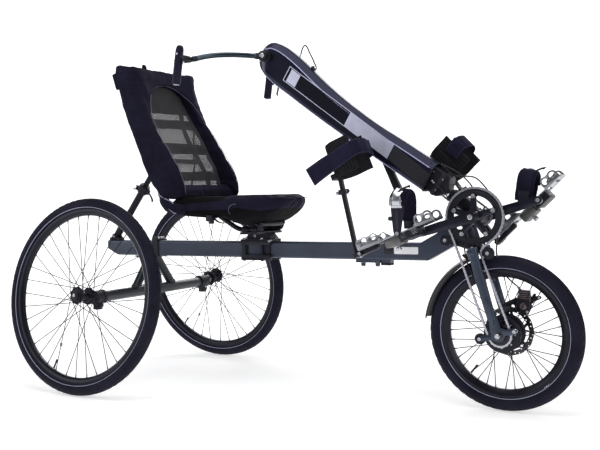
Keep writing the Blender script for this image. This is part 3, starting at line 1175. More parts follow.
def header():
    """Fabric above the window's arch, from side to side, dished a little in the middle."""
    verts, faces = [], []
    cols = 34
    rows_ = 9
    for side_ in (0, 1):
        for i in range(rows_):
            for j in range(cols + 1):
                y = -194 + 388 * j / cols
                yy = abs(y)
                lo = 1199
                zl = interp([(y0, z0) for z0, y0 in HALF_WINDOW if z0 >= 985], min(yy, 163)) if yy < 163 else 985
                zt = 1204 - 3 * (1 if yy > 185 else 0)
                z = zl + (zt - zl) * i / (rows_ - 1)
                r, f = interp(BACK_REAR, z), interp(BACK_FRONT, z)
                dish = 16 * (1 - min(1, yy / 150) ** 2)
                thick_f = f - 6 - dish
                verts.append(at(r + 4 if side_ == 0 else thick_f, y, z))
    n = rows_ * (cols + 1)

    def idx(q, i, j):
        return q * n + i * (cols + 1) + j
    for i in range(rows_ - 1):
        for j in range(cols):
            faces.append((idx(0, i, j), idx(0, i, j + 1), idx(0, i + 1, j + 1), idx(0, i + 1, j)))
            faces.append((idx(1, i, j), idx(1, i + 1, j), idx(1, i + 1, j + 1), idx(1, i, j + 1)))
    for j in range(cols):
        faces.append((idx(0, 0, j), idx(1, 0, j), idx(1, 0, j + 1), idx(0, 0, j + 1)))
        faces.append((idx(0, rows_ - 1, j), idx(0, rows_ - 1, j + 1), idx(1, rows_ - 1, j + 1), idx(1, rows_ - 1, j)))
    for i in range(rows_ - 1):
        faces.append((idx(0, i, 0), idx(0, i + 1, 0), idx(1, i + 1, 0), idx(1, i, 0)))
        faces.append((idx(0, i, cols), idx(1, i, cols), idx(1, i + 1, cols), idx(0, i + 1, cols)))
    return new_object("header", verts, faces, "fabric")


def lower_band():
    verts, faces = [], []
    prof = [(216, 698), (206, 736), (228, 744), (250, 738), (272, 722), (282, 700), (270, 693), (236, 692)]
    ys = [-192 + 384 * k / 24 for k in range(25)]
    for y in ys:
        for a, z in prof:
            verts.append(at(a, y, z))
    m = len(prof)
    for k in range(len(ys) - 1):
        for j in range(m):
            faces.append((k * m + j, k * m + (j + 1) % m, (k + 1) * m + (j + 1) % m, (k + 1) * m + j))
    faces.append(tuple(range(m)))
    faces.append(tuple(range((len(ys) - 1) * m, len(ys) * m)))
    return new_object("band", verts, faces, "fabric")


back = join("seat_back_visual", [back_wing(-1), back_wing(1), header(), lower_band()])
cloth_puff(back, 0.0055, 3.0, 0.006)
ripple(back, 0.0030, 14.0, 1, (1, 1, .8))
ripple(back, 0.0018, 30.0, 7, (.4, .4, 1.6))
ripple(back, 0.0010, 45.0, 2, (1, 1, .5))
piece(back, "frame", "fabric", "seat_back")


def back_mesh_x(z):
    return interp(BACK_REAR, z) + 25


# open mesh of the window: two sets of flat strands
def lattice():
    verts, faces = [], []

    def strand(a, b, width_dir, w, lift):
        n = (b - a).cross(width_dir).normalized()
        base = len(verts)
        for p in (a, b):
            for q in (-w / 2, w / 2):
                verts.append(p + width_dir * q + n * lift)
        faces.append((base, base + 1, base + 3, base + 2))
    pitch = 4.2
    z = 730.0
    z_rows = []
    while z < 1137:
        z_rows.append(z)
        z += pitch
    for k, z in enumerate(z_rows):
        w = interp(HALF_WINDOW, z) + 3
        seg = max(2, int(w / 30))
        base = len(verts)
        for i in range(seg + 1):
            y = -w + 2 * w * i / seg
            for dz in (-1.08, 1.08):
                verts.append(at(back_mesh_x(z + dz) + 0.5 + 2.5 * (y / 170) ** 2 * 0, y, z + dz))
        for i in range(seg):
            faces.append((base + 2 * i, base + 2 * i + 1, base + 2 * i + 3, base + 2 * i + 2))
    y = -171.0
    while y <= 171.0:
        zs = [q for q in z_rows if interp(HALF_WINDOW, q) + 3 >= abs(y)]
        if len(zs) > 2:
            zs = zs[::4] + [zs[-1]]
            base = len(verts)
            for z in zs:
                for dy in (-1.08, 1.08):
                    verts.append(at(back_mesh_x(z), y + dy, z))
            for i in range(len(zs) - 1):
                faces.append((base + 2 * i, base + 2 * i + 1, base + 2 * i + 3, base + 2 * i + 2))
        y += pitch
    return new_object("mesh_strands", verts, faces, "net", smooth=False)


MAT["net"] = satin("mesh_net", (0.020, 0.020, 0.021), rough=0.8, grain=2000.0, depth=0.3, coat=0.0)
MAT["piping"] = satin("grey_piping", (0.060, 0.060, 0.095), rough=0.5, grain=2200.0, depth=0.2, coat=0.0)
MAT["silver_piping"] = satin("silver_piping", (0.20, 0.20, 0.28), rough=0.42, grain=2200.0, depth=0.2, coat=0.1)
net = lattice()
sol = net.modifiers.new("t", "SOLIDIFY")
sol.thickness = 0.0007
apply_mods(net)
piece(net, "frame", "fabric")
net.name = "seat_mesh_window"


def strap_between(name, z0, z1, back_off, y0=-180, y1=180, thick=1.6, mat="strap"):
    """Flat webbing across the back of the window, from bolster to bolster."""
    verts, faces = [], []
    n = 16
    for k in range(n + 1):
        y = y0 + (y1 - y0) * k / n
        sag = 0 * (1 - (y / 180) ** 2)
        zz = [z0, (z0 + z1) / 2, z1]
        for t in (0, thick):
            for z in zz:
                verts.append(at(back_mesh_x(z) - back_off + t - sag, y, z + 2.0 * math.sin(y / 60.0)))
    for k in range(n):
        b = k * 6
        for i in range(2):
            faces.append((b + i, b + i + 1, b + i + 7, b + i + 6))
            faces.append((b + 3 + i, b + 9 + i, b + 10 + i, b + 4 + i))
        faces.append((b, b + 6, b + 9, b + 3))
        faces.append((b + 2, b + 5, b + 11, b + 8))
    faces.append((0, 3, 4, 5, 2, 1))
    e = n * 6
    faces.append((e, e + 1, e + 2, e + 5, e + 4, e + 3))
    return new_object(name, verts, faces, mat)


straps = [strap_between("strap", 970, 1006, 10), strap_between("strap", 869, 911, 10), strap_between("strap", 764, 799, 10)]
# dark pocket behind the arch
pocket = strap_between("pocket", 1030, 1150, 9, -150, 150)
# lacing cord down behind the window, slanting from the upper left corner
seam = []
for k in range(24):
    zz = 985 - 255 * k / 23
    seam.append(at(back_mesh_x(zz) - 7.0, 152 - 192 * k / 23, zz))
centre = section_sweep("lacing", seam, rounded(0.0018, 0.012, 0.0006, 2), "strap", up=Vector((1, 0, 0)))
piece(join("seat_back_straps", straps + [pocket, centre]), "frame", "fabric")

# piping round the window and along the lower corners, flap at the upper edge
pipes = []
loop = []
for z, w in HALF_WINDOW:
    loop.append((z, w))
fine = [at(back_mesh_x(z) + 7, -(w + 4), z) for z, w in loop[:-1]] + [at(back_mesh_x(1139) + 14, 0, 1139.5)] + [at(back_mesh_x(z) + 7, w + 4, z) for z, w in reversed(loop[:-1])]
for i, p in enumerate(fine):
    z = p.z * 1000
    lift = max(0, (z - 1040) / 100) * 12
    fine[i] = p + Vector((lift / 1000, 0, 0))
crest_r, crest_l = [], []
for z in range(716, 1100, 24):
    f = interp(BACK_FRONT, z)
    yi = max(interp(HALF_WINDOW, min(z, 1137)), 118)
    crest_r.append(at(f - 5, -(yi + 7), z))
    crest_l.append(at(f - 5, yi + 7, z))
arch = []
for w in range(-100, 101, 20):
    zc = interp([(y0, z0) for z0, y0 in HALF_WINDOW if z0 >= 985], abs(w))
    arch.append(at(interp(BACK_FRONT, zc) - 8 - 14 * (1 - (w / 150) ** 2), w, zc + 4))
pipes.append(tube("window_piping", curve_points(crest_r + arch + list(reversed(crest_l)), 5), 0.0013, "piping", 8))
for s in (-1, 1):
    p = [at(186, s * 192, 726), at(196, s * 196.5, 712), at(212, s * 198.6, 702), at(232, s * 199.6, 694), at(252, s * 199.4, 686), at(266, s * 198.6, 672), at(271, s * 197.6, 656), at(270, s * 195, 641)]
    pipes.append(tube("corner_piping", curve_points(p, 6), 0.0022, "silver_piping", 8))
    p2 = [at(190, s * 191, 708), at(202, s * 196.5, 694), at(217, s * 199.8, 679), at(236, s * 201.0, 664), at(254, s * 200.2, 651), at(268, s * 197, 641)]
    pipes.append(tube("corner_piping", curve_points(p2, 6), 0.0016, "silver_piping", 8))
    e = [at(interp(BACK_FRONT, z) - 2, s * 188, z) for z in range(720, 1190, 47)]
flap = soft_prism("flap", [(-17, 1172), (0, 1178), (29, 1175), (27, 1116), (6, 1113), (1, 1116)], -199, -193, "strap", 0.002)
for s in (-1, 1):
    pipes.append(soft_prism("corner_gusset", [(188, 724), (197, 711), (212, 701), (232, 693), (251, 685), (265, 672), (270, 656), (268, 642), (254, 652), (236, 665), (217, 680), (202, 695), (191, 708)], s * 184, s * 198.4, "fabric", 0.004, 3))
hook = soft_prism("top_loop", [(58, 1178), (78, 1178), (77, 1203), (72, 1211), (65, 1214), (59, 1210)], -112, -104, "strap", 0.0015)
pipes.append(soft_prism("top_corner", [(0, 1179), (-2, 1194), (1, 1203), (11, 1206), (22, 1206), (52, 1199), (86, 1192), (85, 1171)], -194, -168, "fabric", 0.006, 4))
piece(join("seat_back_trim", [*pipes, flap, hook]), "frame", "fabric")


# ------------------------------------------------------------------ seat pad
def pad_shape():
    stations = [(240, 184, 688, 638), (250, 191, 692, 634), (266, 194, 694, 632), (320, 195, 695, 631), (400, 196, 695, 629), (440, 196, 695, 626), (450, 196, 695, 622), (474, 196, 696, 612),
                (492, 196, 697, 602), (520, 195, 697, 600), (548, 190, 697, 605), (578, 181, 697, 617), (604, 167, 697, 631), (626, 148, 697, 647), (644, 122, 696, 659),
                (658, 94, 695, 668), (670, 62, 694, 675), (679, 34, 692, 681)]
    verts, faces = [], []
    for st, w, zt, zb in stations:
        dish = 5 if 260 < st < 600 else 1
        drop_ = zt - zb
        upper = min(24.0, drop_ * .42)
        half = [(0, zt - dish), (w * .35, zt - dish * .8), (w * .68, zt), (w * .87, zt - .8), (w * .955, zt - upper * .2), (w, zt - upper * .58), (w * 1.0, zt - upper), (w * .985, zt - upper * 1.2),
                (w * .975, zt - drop_ * .56), (w * .93, zt - drop_ * .68), (w * .84, zt - drop_ * .80), (w * .70, zt - drop_ * .90), (w * .52, zb + 2), (w * .26, zb), (0, zb)]
        if st < 445:
            half = half[:8] + [(w * .98, zt - drop_ * .56), (w * .965, zt - drop_ * .85), (w * .93, zb), (172, zb + 1), (169, zb + 8), (169, 668), (0, 668)]
        ring_ = [(y, z) for y, z in half] + [(-y, z) for y, z in reversed(half[1:-1])]
        for y, z in ring_:
            verts.append(at(st, y, max(z, zb) if st > 445 else z))
    m = len(ring_)
    for k in range(len(stations) - 1):
        for j in range(m):
            faces.append((k * m + j, k * m + (j + 1) % m, (k + 1) * m + (j + 1) % m, (k + 1) * m + j))
    faces.append(tuple(range(m)))
    faces.append(tuple(range((len(stations) - 1) * m, len(stations) * m)))
    return new_object("seat_cushion_visual", verts, faces, "fabric")


MAT["fabric_under"] = woven("seat_base_cloth", (0.0016, 0.0015, 0.0022), (0.0034, 0.0032, 0.0046), pitch=2600.0, sheen=0.0)
pad = pad_shape()
cloth_puff(pad, 0.0058, 3.5, 0.007)
ripple(pad, 0.0026, 14.0, 5, (.6, 1, 1.3))
ripple(pad, 0.0009, 50.0, 6, (.5, 1, 1))
FOLD = [(200, 651), (500, 654), (530, 660), (560, 654), (600, 647), (640, 652), (680, 664)]
pad.data.materials.append(MAT["fabric_under"])
for f in pad.data.polygons:
    c = f.center
    st = (c.x - REAR) * 1000
    if c.z * 1000 < interp(FOLD, st) or (st < 480 and c.z * 1000 > 674 + (st - 277) * .06):
        f.material_index = 1
piece(pad, "frame", "fabric", "seat_cushion")

trim = []
# nose cap seam, side seams, and the stitched loop near the back corner
nose = [at(662 - 18 * (y / 120) ** 2, y, 693 - 3 * (abs(y) / 120) ** 2) for y in range(-120, 121, 20)]
trim.append(tube("nose_seam", curve_points(nose, 5), 0.0010, "strap", 8))
for s in (-1, 1):
    hoop = [at(532, s * 192.5, 673), at(520, s * 196.0, 671), at(509, s * 197.6, 665), at(505, s * 198.4, 656), at(505, s * 198.0, 646), at(510, s * 196.0, 638)]
    trim.append(tube("loop_piping", curve_points(hoop, 6), 0.0009, "piping", 8))
    # small strap tails and a buckle under the back corner
    tail = [at(420, s * 178, 632), at(436, s * 181, 618), at(456, s * 183, 608), at(478, s * 182, 606), at(494, s * 178, 610)]
    trim.append(section_sweep("strap_tail", curve_points(tail, 6), rounded(0.0016, 0.012, 0.0006, 2), "strap", up=Vector((0, 0, 1))))
    trim.append(block("strap_buckle", at(396, s * 178 - 10, 612), at(424, s * 178 + 10, 634), "black_plastic", 0.004, 2))
    trim.append(block("strap_buckle", at(410, s * 178 - 8, 603), at(424, s * 178 + 8, 616), "black_plastic", 0.003, 2))
piece(join("seat_cushion_trim", trim), "frame", "fabric")

# bolster between back and pad
def roll(s):
    verts, faces = [], []
    line = curve_points([at(198, s * 182, 716), at(208, s * 186, 694), at(228, s * 188, 671), at(252, s * 188, 660), at(280, s * 187, 656), at(312, s * 184, 656)], 5)
    secs = []
    for k in range(len(line)):
        f = k / (len(line) - 1)
        rr = 0.0250 * math.sqrt(max(0.08, 1 - (2 * f - 1) ** 4))
        secs.append(circle(rr, 14, 0.62))
    return section_sweep("roll", line, secs, "fabric", up=Vector((0, 0, 1)))


for s, nm in ((-1, "right"), (1, "left")):
    r_ = roll(s)
    r_.name = f"seat_side_roll_{nm}"
    sub = r_.modifiers.new("s", "SUBSURF")
    sub.levels = sub.render_levels = 1
    apply_mods(r_)
    ripple(r_, 0.0012, 40, 3 + s)
    piece(r_, "frame", "fabric")

# ------------------------------------------------------------------ steered front and drive
def hull(circles, seg=28):
    """Outline round circles given as (x, z, r)."""
    pts = sorted({(round(x + r * math.cos(2 * math.pi * k / seg), 4), round(z + r * math.sin(2 * math.pi * k / seg), 4)) for x, z, r in circles for k in range(seg)})

    def half(ps):
        out = []
        for p in ps:
            while len(out) > 1 and (out[-1][0] - out[-2][0]) * (p[1] - out[-2][1]) - (out[-1][1] - out[-2][1]) * (p[0] - out[-2][0]) <= 0:
                out.pop()
            out.append(p)
        return out
    lo, hi = half(pts), half(pts[::-1])
    return lo[:-1] + hi[:-1]


def head(t, y=0.0):
    return at(1335 - math.sin(HEAD) * t, y, 502 + math.cos(HEAD) * t)


HEAD_DIR = Vector((-math.sin(HEAD), 0, math.cos(HEAD)))
HEAD_X = Vector((math.cos(HEAD), 0, math.sin(HEAD)))

fork = []
crown = []
for t, w, d in ((-8, 146, 27), (-5, 148, 30), (11, 148, 30), (14, 144, 26)):
    crown.append((head(t), [(HEAD_X * (a / 1000) + Y * (b / 1000)) for a, b in rounded(d, w, 9, 4)]))
verts = [c + o for c, ring_ in crown for o in ring_]
mm = len(crown[0][1])
faces = [(k * mm + j, k * mm + (j + 1) % mm, (k + 1) * mm + (j + 1) % mm, (k + 1) * mm + j) for k in range(3) for j in range(mm)]
faces += [tuple(range(mm)), tuple(range(3 * mm, 4 * mm))]
fork.append(smooth_by_angle(new_object("crown", verts, faces, "fork_paint"), 35))
fork.append(smooth_by_angle(lathe("steerer", [(.0001, -.006), (.0185, -.006), (.0200, -.004), (.0200, .0105), (.0180, .0148), (.0138, .0152), (.0138, .124), (.0128, .126), (.0001, .126)],
                                  head(0), HEAD_DIR, "fork_paint", 48)))
for s in (-1, 1):
    y = s * 66
    line = curve_points([at(1337, y, 520), at(1345, y, 486), at(1359, y, 430), at(1374, y, 376), at(1389, y, 326), at(1398, y, 296)], 6)
    secs = []
    for k in range(len(line)):
        f = k / (len(line) - 1)
        secs.append([(a / 1000, b / 1000) for a, b in rounded(15.6 - 2.0 * f, 31 - 3 * f, 7.3 - 1.0 * f, 4)])
    fork.append(smooth_by_angle(section_sweep("blade", line, secs, "fork_paint", up=Vector((0, 1, 0))), 50))
    # tongue of the dropout lapped into the blade, and the dropout plate
    y0, y1 = s * 59.0, s * 67.5
    drop = [(1384, 320), (1404, 322), (1414, 300), (1424, 272), (1440, 268)]
    if s < 0:
        drop += [(1462, 272), (1474, 266), (1472, 255), (1452, 250)]
    drop += [(1440, 250), (1436, 240), (1428, 231), (1414, 228), (1402, 232), (1396, 240)]
    drop += [(1392, 258), (1388, 290)]
    fork.append(soft_prism("dropout", drop, y0, y1, "fork_paint", 0.0018, 2, holes=[ring_outline(1417, 247, 6.4, 24)]))
    tongue = curve_points([at(1376, s * 74.2, 372), at(1384, s * 75.0, 345), at(1392, s * 74.0, 316), at(1397, s * 70.5, 292), at(1399, s * 66.5, 276)], 6)
    ts = []
    for k in range(len(tongue)):
        f = k / (len(tongue) - 1)
        w = 8.5 * math.sin(math.pi * min(1, .18 + f * .75)) + 2
        ts.append([(a / 1000, b / 1000) for a, b in rounded(3.2, w * 1.6, 1.4, 3)])
    fork.append(smooth_by_angle(section_sweep("tongue", tongue, ts, "fork_paint", up=Vector((0, 1, 0))), 50))
    if s < 0:
        fork.append(bolt("dropout_bolt", at(1467, -67.5, 263), -Y, 0.0060, 0.0045))
        fork.append(lathe("dropout_spacer", [(.0001, 0), (.0075, 0), (.0075, .006), (.0001, .006)], at(1467, -59, 263), Y, "steel", 24))
piece(join("front_fork_visual", fork), "front_end", "frame_paint", "front_fork")

# axle with flanged nuts
ax_parts = [smooth_by_angle(lathe("axle", [(.0001, -.084), (.0052, -.084), (.0060, -.083), (.0060, .083), (.0052, .084), (.0001, .084)], front_c, Y, "steel", 32))]
for s in (-1, 1):
    ax_parts.append(smooth_by_angle(lathe("axle_washer", [(.0061, .0678), (.0125, .0678), (.0130, .0684), (.0130, .0705), (.0061, .0705)], front_c, Y * s, "dark_steel", 40, closed=True)))
    hexline = [(9.6 * math.cos(math.pi / 3 * k + .2), 9.6 * math.sin(math.pi / 3 * k + .2)) for k in range(6)]
    ax_parts.append(soft_prism("axle_nut", [(1417 + a, 247 + b) for a, b in hexline], s * 70.5, s * 80, "steel", 0.0014, 2))
    ax_parts.append(smooth_by_angle(lathe("nut_dome", [(.0001, .0840), (.0050, .0835), (.0074, .0815), (.0080, .0798), (.0001, .0798)], front_c, Y * s, "steel", 32)))
piece(join("front_axle_visual", ax_parts), "front_end", "steel", "front_axle")

# roller arm behind the sprocket
ten = [soft_prism("roller_arm", hull([(1410, 244, 10), (1354, 232, 8)]), -57.8, -54.8, "fork_paint", 0.001, 2, holes=[ring_outline(1417, 247, 6.2, 20)])]
ten.append(smooth_by_angle(lathe("roller", [(.0001, -.0546), (.0165, -.0546), (.0172, -.0540), (.0172, -.0522), (.0150, -.0515), (.0150, -.0478), (.0172, -.0470), (.0172, -.0455),
                                            (.0165, -.0448), (.0001, -.0448)], at(1354, 0, 232), Y, "black_plastic", 48)))
ten.append(bolt("roller_bolt", at(1354, -57.8, 232), -Y, 0.0058, 0.0042))
piece(join("chain_tensioner_visual", ten), "front_end", "steel", "chain_tensioner")


def loop_points(pulleys, pitch):
    """Points one pitch apart round the pulleys (station, z, signed radius)."""
    n = len(pulleys)
    leave, arrive = [None] * n, [None] * n
    for i in range(n):
        x0, z0, r0 = pulleys[i]
        x1, z1, r1 = pulleys[(i + 1) % n]
        d = math.hypot(x1 - x0, z1 - z0)
        a = math.atan2(z1 - z0, x1 - x0) - math.asin((r1 - r0) / d)
        nx, nz = -math.sin(a), math.cos(a)
        leave[i] = (x0 - r0 * nx, z0 - r0 * nz)
        arrive[(i + 1) % n] = (x1 - r1 * nx, z1 - r1 * nz)
    dense = []
    for i in range(n):
        x, z, r = pulleys[i]
        turn = 1 if r > 0 else -1
        a0 = math.atan2(arrive[i][1] - z, arrive[i][0] - x)
        a1 = math.atan2(leave[i][1] - z, leave[i][0] - x)
        sw = ((a1 - a0) * turn) % (2 * math.pi)
        steps = max(4, int(sw / 0.03))
        for k in range(steps + 1):
            a = a0 + turn * sw * k / steps
            dense.append((x + abs(r) * math.cos(a), z + abs(r) * math.sin(a)))
        j = (i + 1) % n
        p, q = leave[i], arrive[j]
        steps = max(2, int(math.hypot(q[0] - p[0], q[1] - p[1]) / 3))
        for k in range(1, steps):
            dense.append((p[0] + (q[0] - p[0]) * k / steps, p[1] + (q[1] - p[1]) * k / steps))
    dense.append(dense[0])
    cum = [0.0]
    for p, q in zip(dense, dense[1:]):
        cum.append(cum[-1] + math.hypot(q[0] - p[0], q[1] - p[1]))
    count = int(round(cum[-1] / pitch / 2)) * 2
    out, j = [], 0
    for k in range(count):
        s = cum[-1] * k / count
        while cum[j + 1] < s:
            j += 1
        f = (s - cum[j]) / max(cum[j + 1] - cum[j], 1e-9)
        out.append((dense[j][0] + (dense[j + 1][0] - dense[j][0]) * f, dense[j][1] + (dense[j + 1][1] - dense[j][1]) * f))
    return out


def chain(name, pulleys, y, body, replaced, plate_r=3.7, inner=1.9, outer=3.0):
    pts = loop_points(pulleys, 12.7)
    verts, faces = [], []

    def add_plate(p, q, yc, half_t):
        dx, dz = q[0] - p[0], q[1] - p[1]
        length = math.hypot(dx, dz)
        tx, tz = dx / length, dz / length
        outline = []
        for c, base_a in ((q, -90), (p, 90)):
            for k in range(7):
                a = math.radians(base_a + 180 * k / 6)
                u, v = plate_r * math.cos(a), plate_r * math.sin(a)
                outline.append((c[0] + tx * u - tz * v, c[1] + tz * u + tx * v))
            mid = ((p[0] + q[0]) / 2, (p[1] + q[1]) / 2)
            w = plate_r * 0.72 * (1 if base_a == -90 else -1)
            outline.append((mid[0] - tz * w, mid[1] + tx * w))
        base = len(verts)
        n = len(outline)
        for yy in (yc - half_t, yc + half_t):
            for a, b in outline:
                verts.append(at(a, yy, b))
        for j in range(n):
            faces.append((base + j, base + (j + 1) % n, base + n + (j + 1) % n, base + n + j))
        faces.append(tuple(base + n - 1 - j for j in range(n)))
        faces.append(tuple(base + n + j for j in range(n)))

    def add_pin(c, r, half, seg=10):
        base = len(verts)
        for yy in (y - half, y + half):
            for k in range(seg):
                a = 2 * math.pi * k / seg
                verts.append(at(c[0] + r * math.cos(a), yy, c[1] + r * math.sin(a)))
        for k in range(seg):
            faces.append((base + k, base + (k + 1) % seg, base + seg + (k + 1) % seg, base + seg + k))
        faces.append(tuple(base + seg - 1 - k for k in range(seg)))
        faces.append(tuple(base + seg + k for k in range(seg)))

    for i, p in enumerate(pts):
        q = pts[(i + 1) % len(pts)]
        off = outer if i % 2 else inner
        for s in (-1, 1):
            add_plate(p, q, y + s * off, 0.45)
        add_pin(p, 2.7, inner - 0.5)
        add_pin(p, 1.3, outer + 0.75, 8)
    o = new_object(name, verts, faces, "chain", smooth=True)
    smooth_by_angle(o, 40)
    return piece(o, body, "chain", replaced)


IDLERS = [(1246.0, 543.0), (1384.0, 503.0)]
chain("drive_chain_visual", [(BB[0], BB[1], 92.0), (*IDLERS[0], -24.3), (1417.0, 247.0, 36.6), (*IDLERS[1], -24.3)], -50, "front_end", "drive_chain")
chain("timing_chain_visual", [(BB[0], BB[1], 28.0), (HAND[0], HAND[1], 28.0)], 37, "front_end", "timing_chain", plate_r=3.3)

rollers = []
for a, b in IDLERS:
    c = at(a, 0, b)
    rollers.append(smooth_by_angle(lathe("idler", [(.0081, -.0455), (.0175, -.0455), (.0196, -.0470), (.0200, -.0480), (.0200, -.0520), (.0196, -.0530), (.0175, -.0548),
                                                   (.0120, -.0552), (.0081, -.0545)], c, Y, "black_plastic", 48, closed=True)))
piece(join("guide_rollers_visual", rollers), "front_end", "black_plastic", "guide_rollers")
guide = [soft_prism("guide_plate", hull([(*IDLERS[0], 8.5), (1330, 519, 9)]), -43.8, -41.2, "black_metal", 0.0009),
         soft_prism("guide_plate", hull([(1330, 519, 9), (*IDLERS[1], 8.5)]), -43.8, -41.2, "black_metal", 0.0009)]
for a, b in IDLERS:
    guide.append(smooth_by_angle(lathe("idler_pin", [(.0001, .0440), (.0078, .0440), (.0078, .0560), (.0120, .0562), (.0128, .0570), (.0120, .0582), (.0001, .0584)],
                                       at(a, 0, b), -Y, "black_metal", 32)))
    guide.append(bolt("idler_bolt", at(a, -58.2, b), -Y, 0.0062, 0.0045))
guide.append(bolt("guide_bolt", at(1330, -43.8, 519), -Y, 0.0045, 0.003))
piece(join("chain_guide_visual", guide), "front_end", "black_metal", "chain_guide")

# chainring, its spider and the cranks
bb = at(BB[0], 0, BB[1])
ring_parts = [sprocket("ring", bb, 0.0922, 46, -51.6, -48.6, 0.0690, mat="black_metal"),
              lathe("ring_step", [(.0680, -.0526), (.0805, -.0528), (.0815, -.0520), (.0815, -.0482), (.0805, -.0474), (.0680, -.0474), (.0672, -.0482), (.0672, -.0518)], bb, Y, "black_metal", 96, closed=True)]
smooth_by_angle(ring_parts[1])
for i in range(5):
    a = math.radians(90 + 72 * i)
    tabp = (BB[0] + 64 * math.cos(a), BB[1] + 64 * math.sin(a))
    ring_parts.append(soft_prism("ring_tab", hull([(*tabp, 7.5), (BB[0] + 73 * math.cos(a - .13), BB[1] + 73 * math.sin(a - .13), 4), (BB[0] + 73 * math.cos(a + .13), BB[1] + 73 * math.sin(a + .13), 4)]),
                                 -52, -48.2, "black_metal", 0.0008))
piece(join("chainring_visual", ring_parts), "foot_cranks", "black_metal", "chainring")

timing_c = at(BB[0], 0, BB[1])
tr = [sprocket("timing", timing_c, 0.0272, 13, 35.6, 38.4, 0.0121),
      smooth_by_angle(lathe("timing_boss", [(.0122, .0385), (.0180, .0385), (.0190, .0395), (.0190, .0610), (.0180, .0620), (.0122, .0620)], timing_c, Y, "steel", 40, closed=True))]
piece(join("timing_ring_visual", tr), "foot_cranks", "steel", "timing_ring")
hc = at(HAND[0], 0, HAND[1])
ha = [sprocket("hand_cog", hc, 0.0272, 13, 35.6, 38.4, 0.0100),
      smooth_by_angle(lathe("hand_spindle", [(.0001, -.0765), (.0070, -.0765), (.0090, -.0745), (.0090, .0745), (.0070, .0765), (.0001, .0765)], hc, Y, "steel", 32)),
      smooth_by_angle(lathe("hand_boss", [(.0091, .0310), (.0148, .0310), (.0150, .0315), (.0150, .0356), (.0091, .0356)], hc, Y, "steel", 32, closed=True))]
for s in (-1, 1):
    ha.append(bolt("spindle_bolt", hc + Y * (s * 0.0765), Y * s, 0.0062, 0.003))
    ha.append(smooth_by_angle(lathe("hub_cup", [(.0092, .0462), (.0205, .0462), (.0215, .0470), (.0212, .0500), (.0180, .0515), (.0092, .0518)], hc, Y * s, "black_metal", 40, closed=True)))
piece(join("hand_crank_axle_visual", ha), "hand_cranks", "steel", "hand_crank_axle")

DIP = math.radians(16.6)
PED = {"right": (BB[0] - 170 * math.cos(DIP), BB[1] - 170 * math.sin(DIP)), "left": (BB[0] + 170 * math.cos(DIP), BB[1] + 170 * math.sin(DIP))}
for side_name, s in (("right", -1), ("left", 1)):
    px, pz = PED[side_name]
    parts = [soft_prism("crank_arm", hull([(BB[0], BB[1], 18.5), (BB[0] * .5 + px * .5, BB[1] * .5 + pz * .5, 12.5), (px, pz, 13)]), s * 79, s * 93, "crank", 0.0042, 4)]
    if s < 0:
        parts.append(smooth_by_angle(lathe("crank_boss", [(.0122, .0525), (.0200, .0525), (.0212, .0545), (.0212, .0790), (.0122, .0790)], bb, -Y, "crank", 48, closed=True)))
        for i in range(5):
            a = math.radians(90 + 72 * i)
            tip = (BB[0] + 66 * math.cos(a), BB[1] + 66 * math.sin(a))
            parts.append(soft_prism("spider_arm", hull([(BB[0] + 8 * math.cos(a), BB[1] + 8 * math.sin(a), 12), (*tip, 8.2)]), -60.5, -52.6, "crank", 0.0028, 3))
            parts.append(bolt("ring_bolt", at(tip[0], -60.5, tip[1]), -Y, 0.0074, 0.0034))
    else:
        parts.append(smooth_by_angle(lathe("crank_boss", [(.0122, .0622), (.0185, .0622), (.0192, .0630), (.0192, .0790), (.0122, .0790)], bb, Y, "crank", 48, closed=True)))
    parts.append(bolt("crank_bolt", bb + Y * (s * 0.093), Y * s, 0.0078, 0.0030))
    parts.append(smooth_by_angle(lathe("crank_cap", [(.0080, .0925), (.0120, .0925), (.0125, .0935), (.0118, .0950), (.0080, .0950)], bb, Y * s, "black_metal", 32, closed=True)))
    pc = at(px, 0, pz)
    parts.append(smooth_by_angle(lathe("pedal_axle", [(.0001, .0780), (.0068, .0780), (.0070, .0790), (.0070, .0935), (.0118, .0940), (.0120, .0945), (.0120, .0978), (.0105, .0982), (.0070, .0984),
                                                      (.0069, .1950), (.0060, .1960), (.0001, .1960)], pc, Y * s, "steel", 32)))
    piece(join(f"foot_crank_{side_name}_visual", parts), "foot_cranks", "black_metal", f"foot_crank_{side_name}")

# mudguard: curved band with rolled edges, and its bracket
gp, gs = [], []
for k in range(41):
    a = math.radians(113.5 + (171.5 - 113.5) * k / 40)
    gp.append(front_c + Vector((math.cos(a), 0, math.sin(a))) * 0.263)
sec = []
outer_s, inner_s = [], []
for j in range(15):
    f = -1 + 2 * j / 14
    drop_ = 10.0 * f * f
    outer_s.append((0.0030 - drop_ / 1000 + (0.0012 if abs(f) > .93 else 0), f * 0.0298))
    inner_s.append((0.0008 - drop_ / 1000 - (0.0010 if abs(f) > .93 else 0), f * 0.0296))
sec = outer_s + inner_s[::-1]
verts, faces = [], []
for k, p in enumerate(gp):
    rad = (p - front_c).normalized()
    for u, v in sec:
        verts.append(p + rad * u + Y * v)
mm = len(sec)
for k in range(len(gp) - 1):
    for j in range(mm):
        faces.append((k * mm + j, k * mm + (j + 1) % mm, (k + 1) * mm + (j + 1) % mm, (k + 1) * mm + j))
faces += [tuple(range(mm)), tuple(range(40 * mm, 41 * mm))]
guard = smooth_by_angle(new_object("guard", verts, faces, "guard_black"), 40)
tab = soft_prism("guard_tab", [(1292, 484), (1306, 489), (1322, 500), (1322, 506), (1300, 495)], -9, 9, "black_metal", 0.001)
lugs = [soft_prism("guard_lug", [(1286, 492), (1300, 480), (1306, 486), (1292, 498)], s * 16 - 3, s * 16 + 3, "black_plastic", 0.001) for s in (-1, 1)]
piece(join("mudguard_visual", [guard, tab, *lugs]), "front_end", "black_plastic", "mudguard")

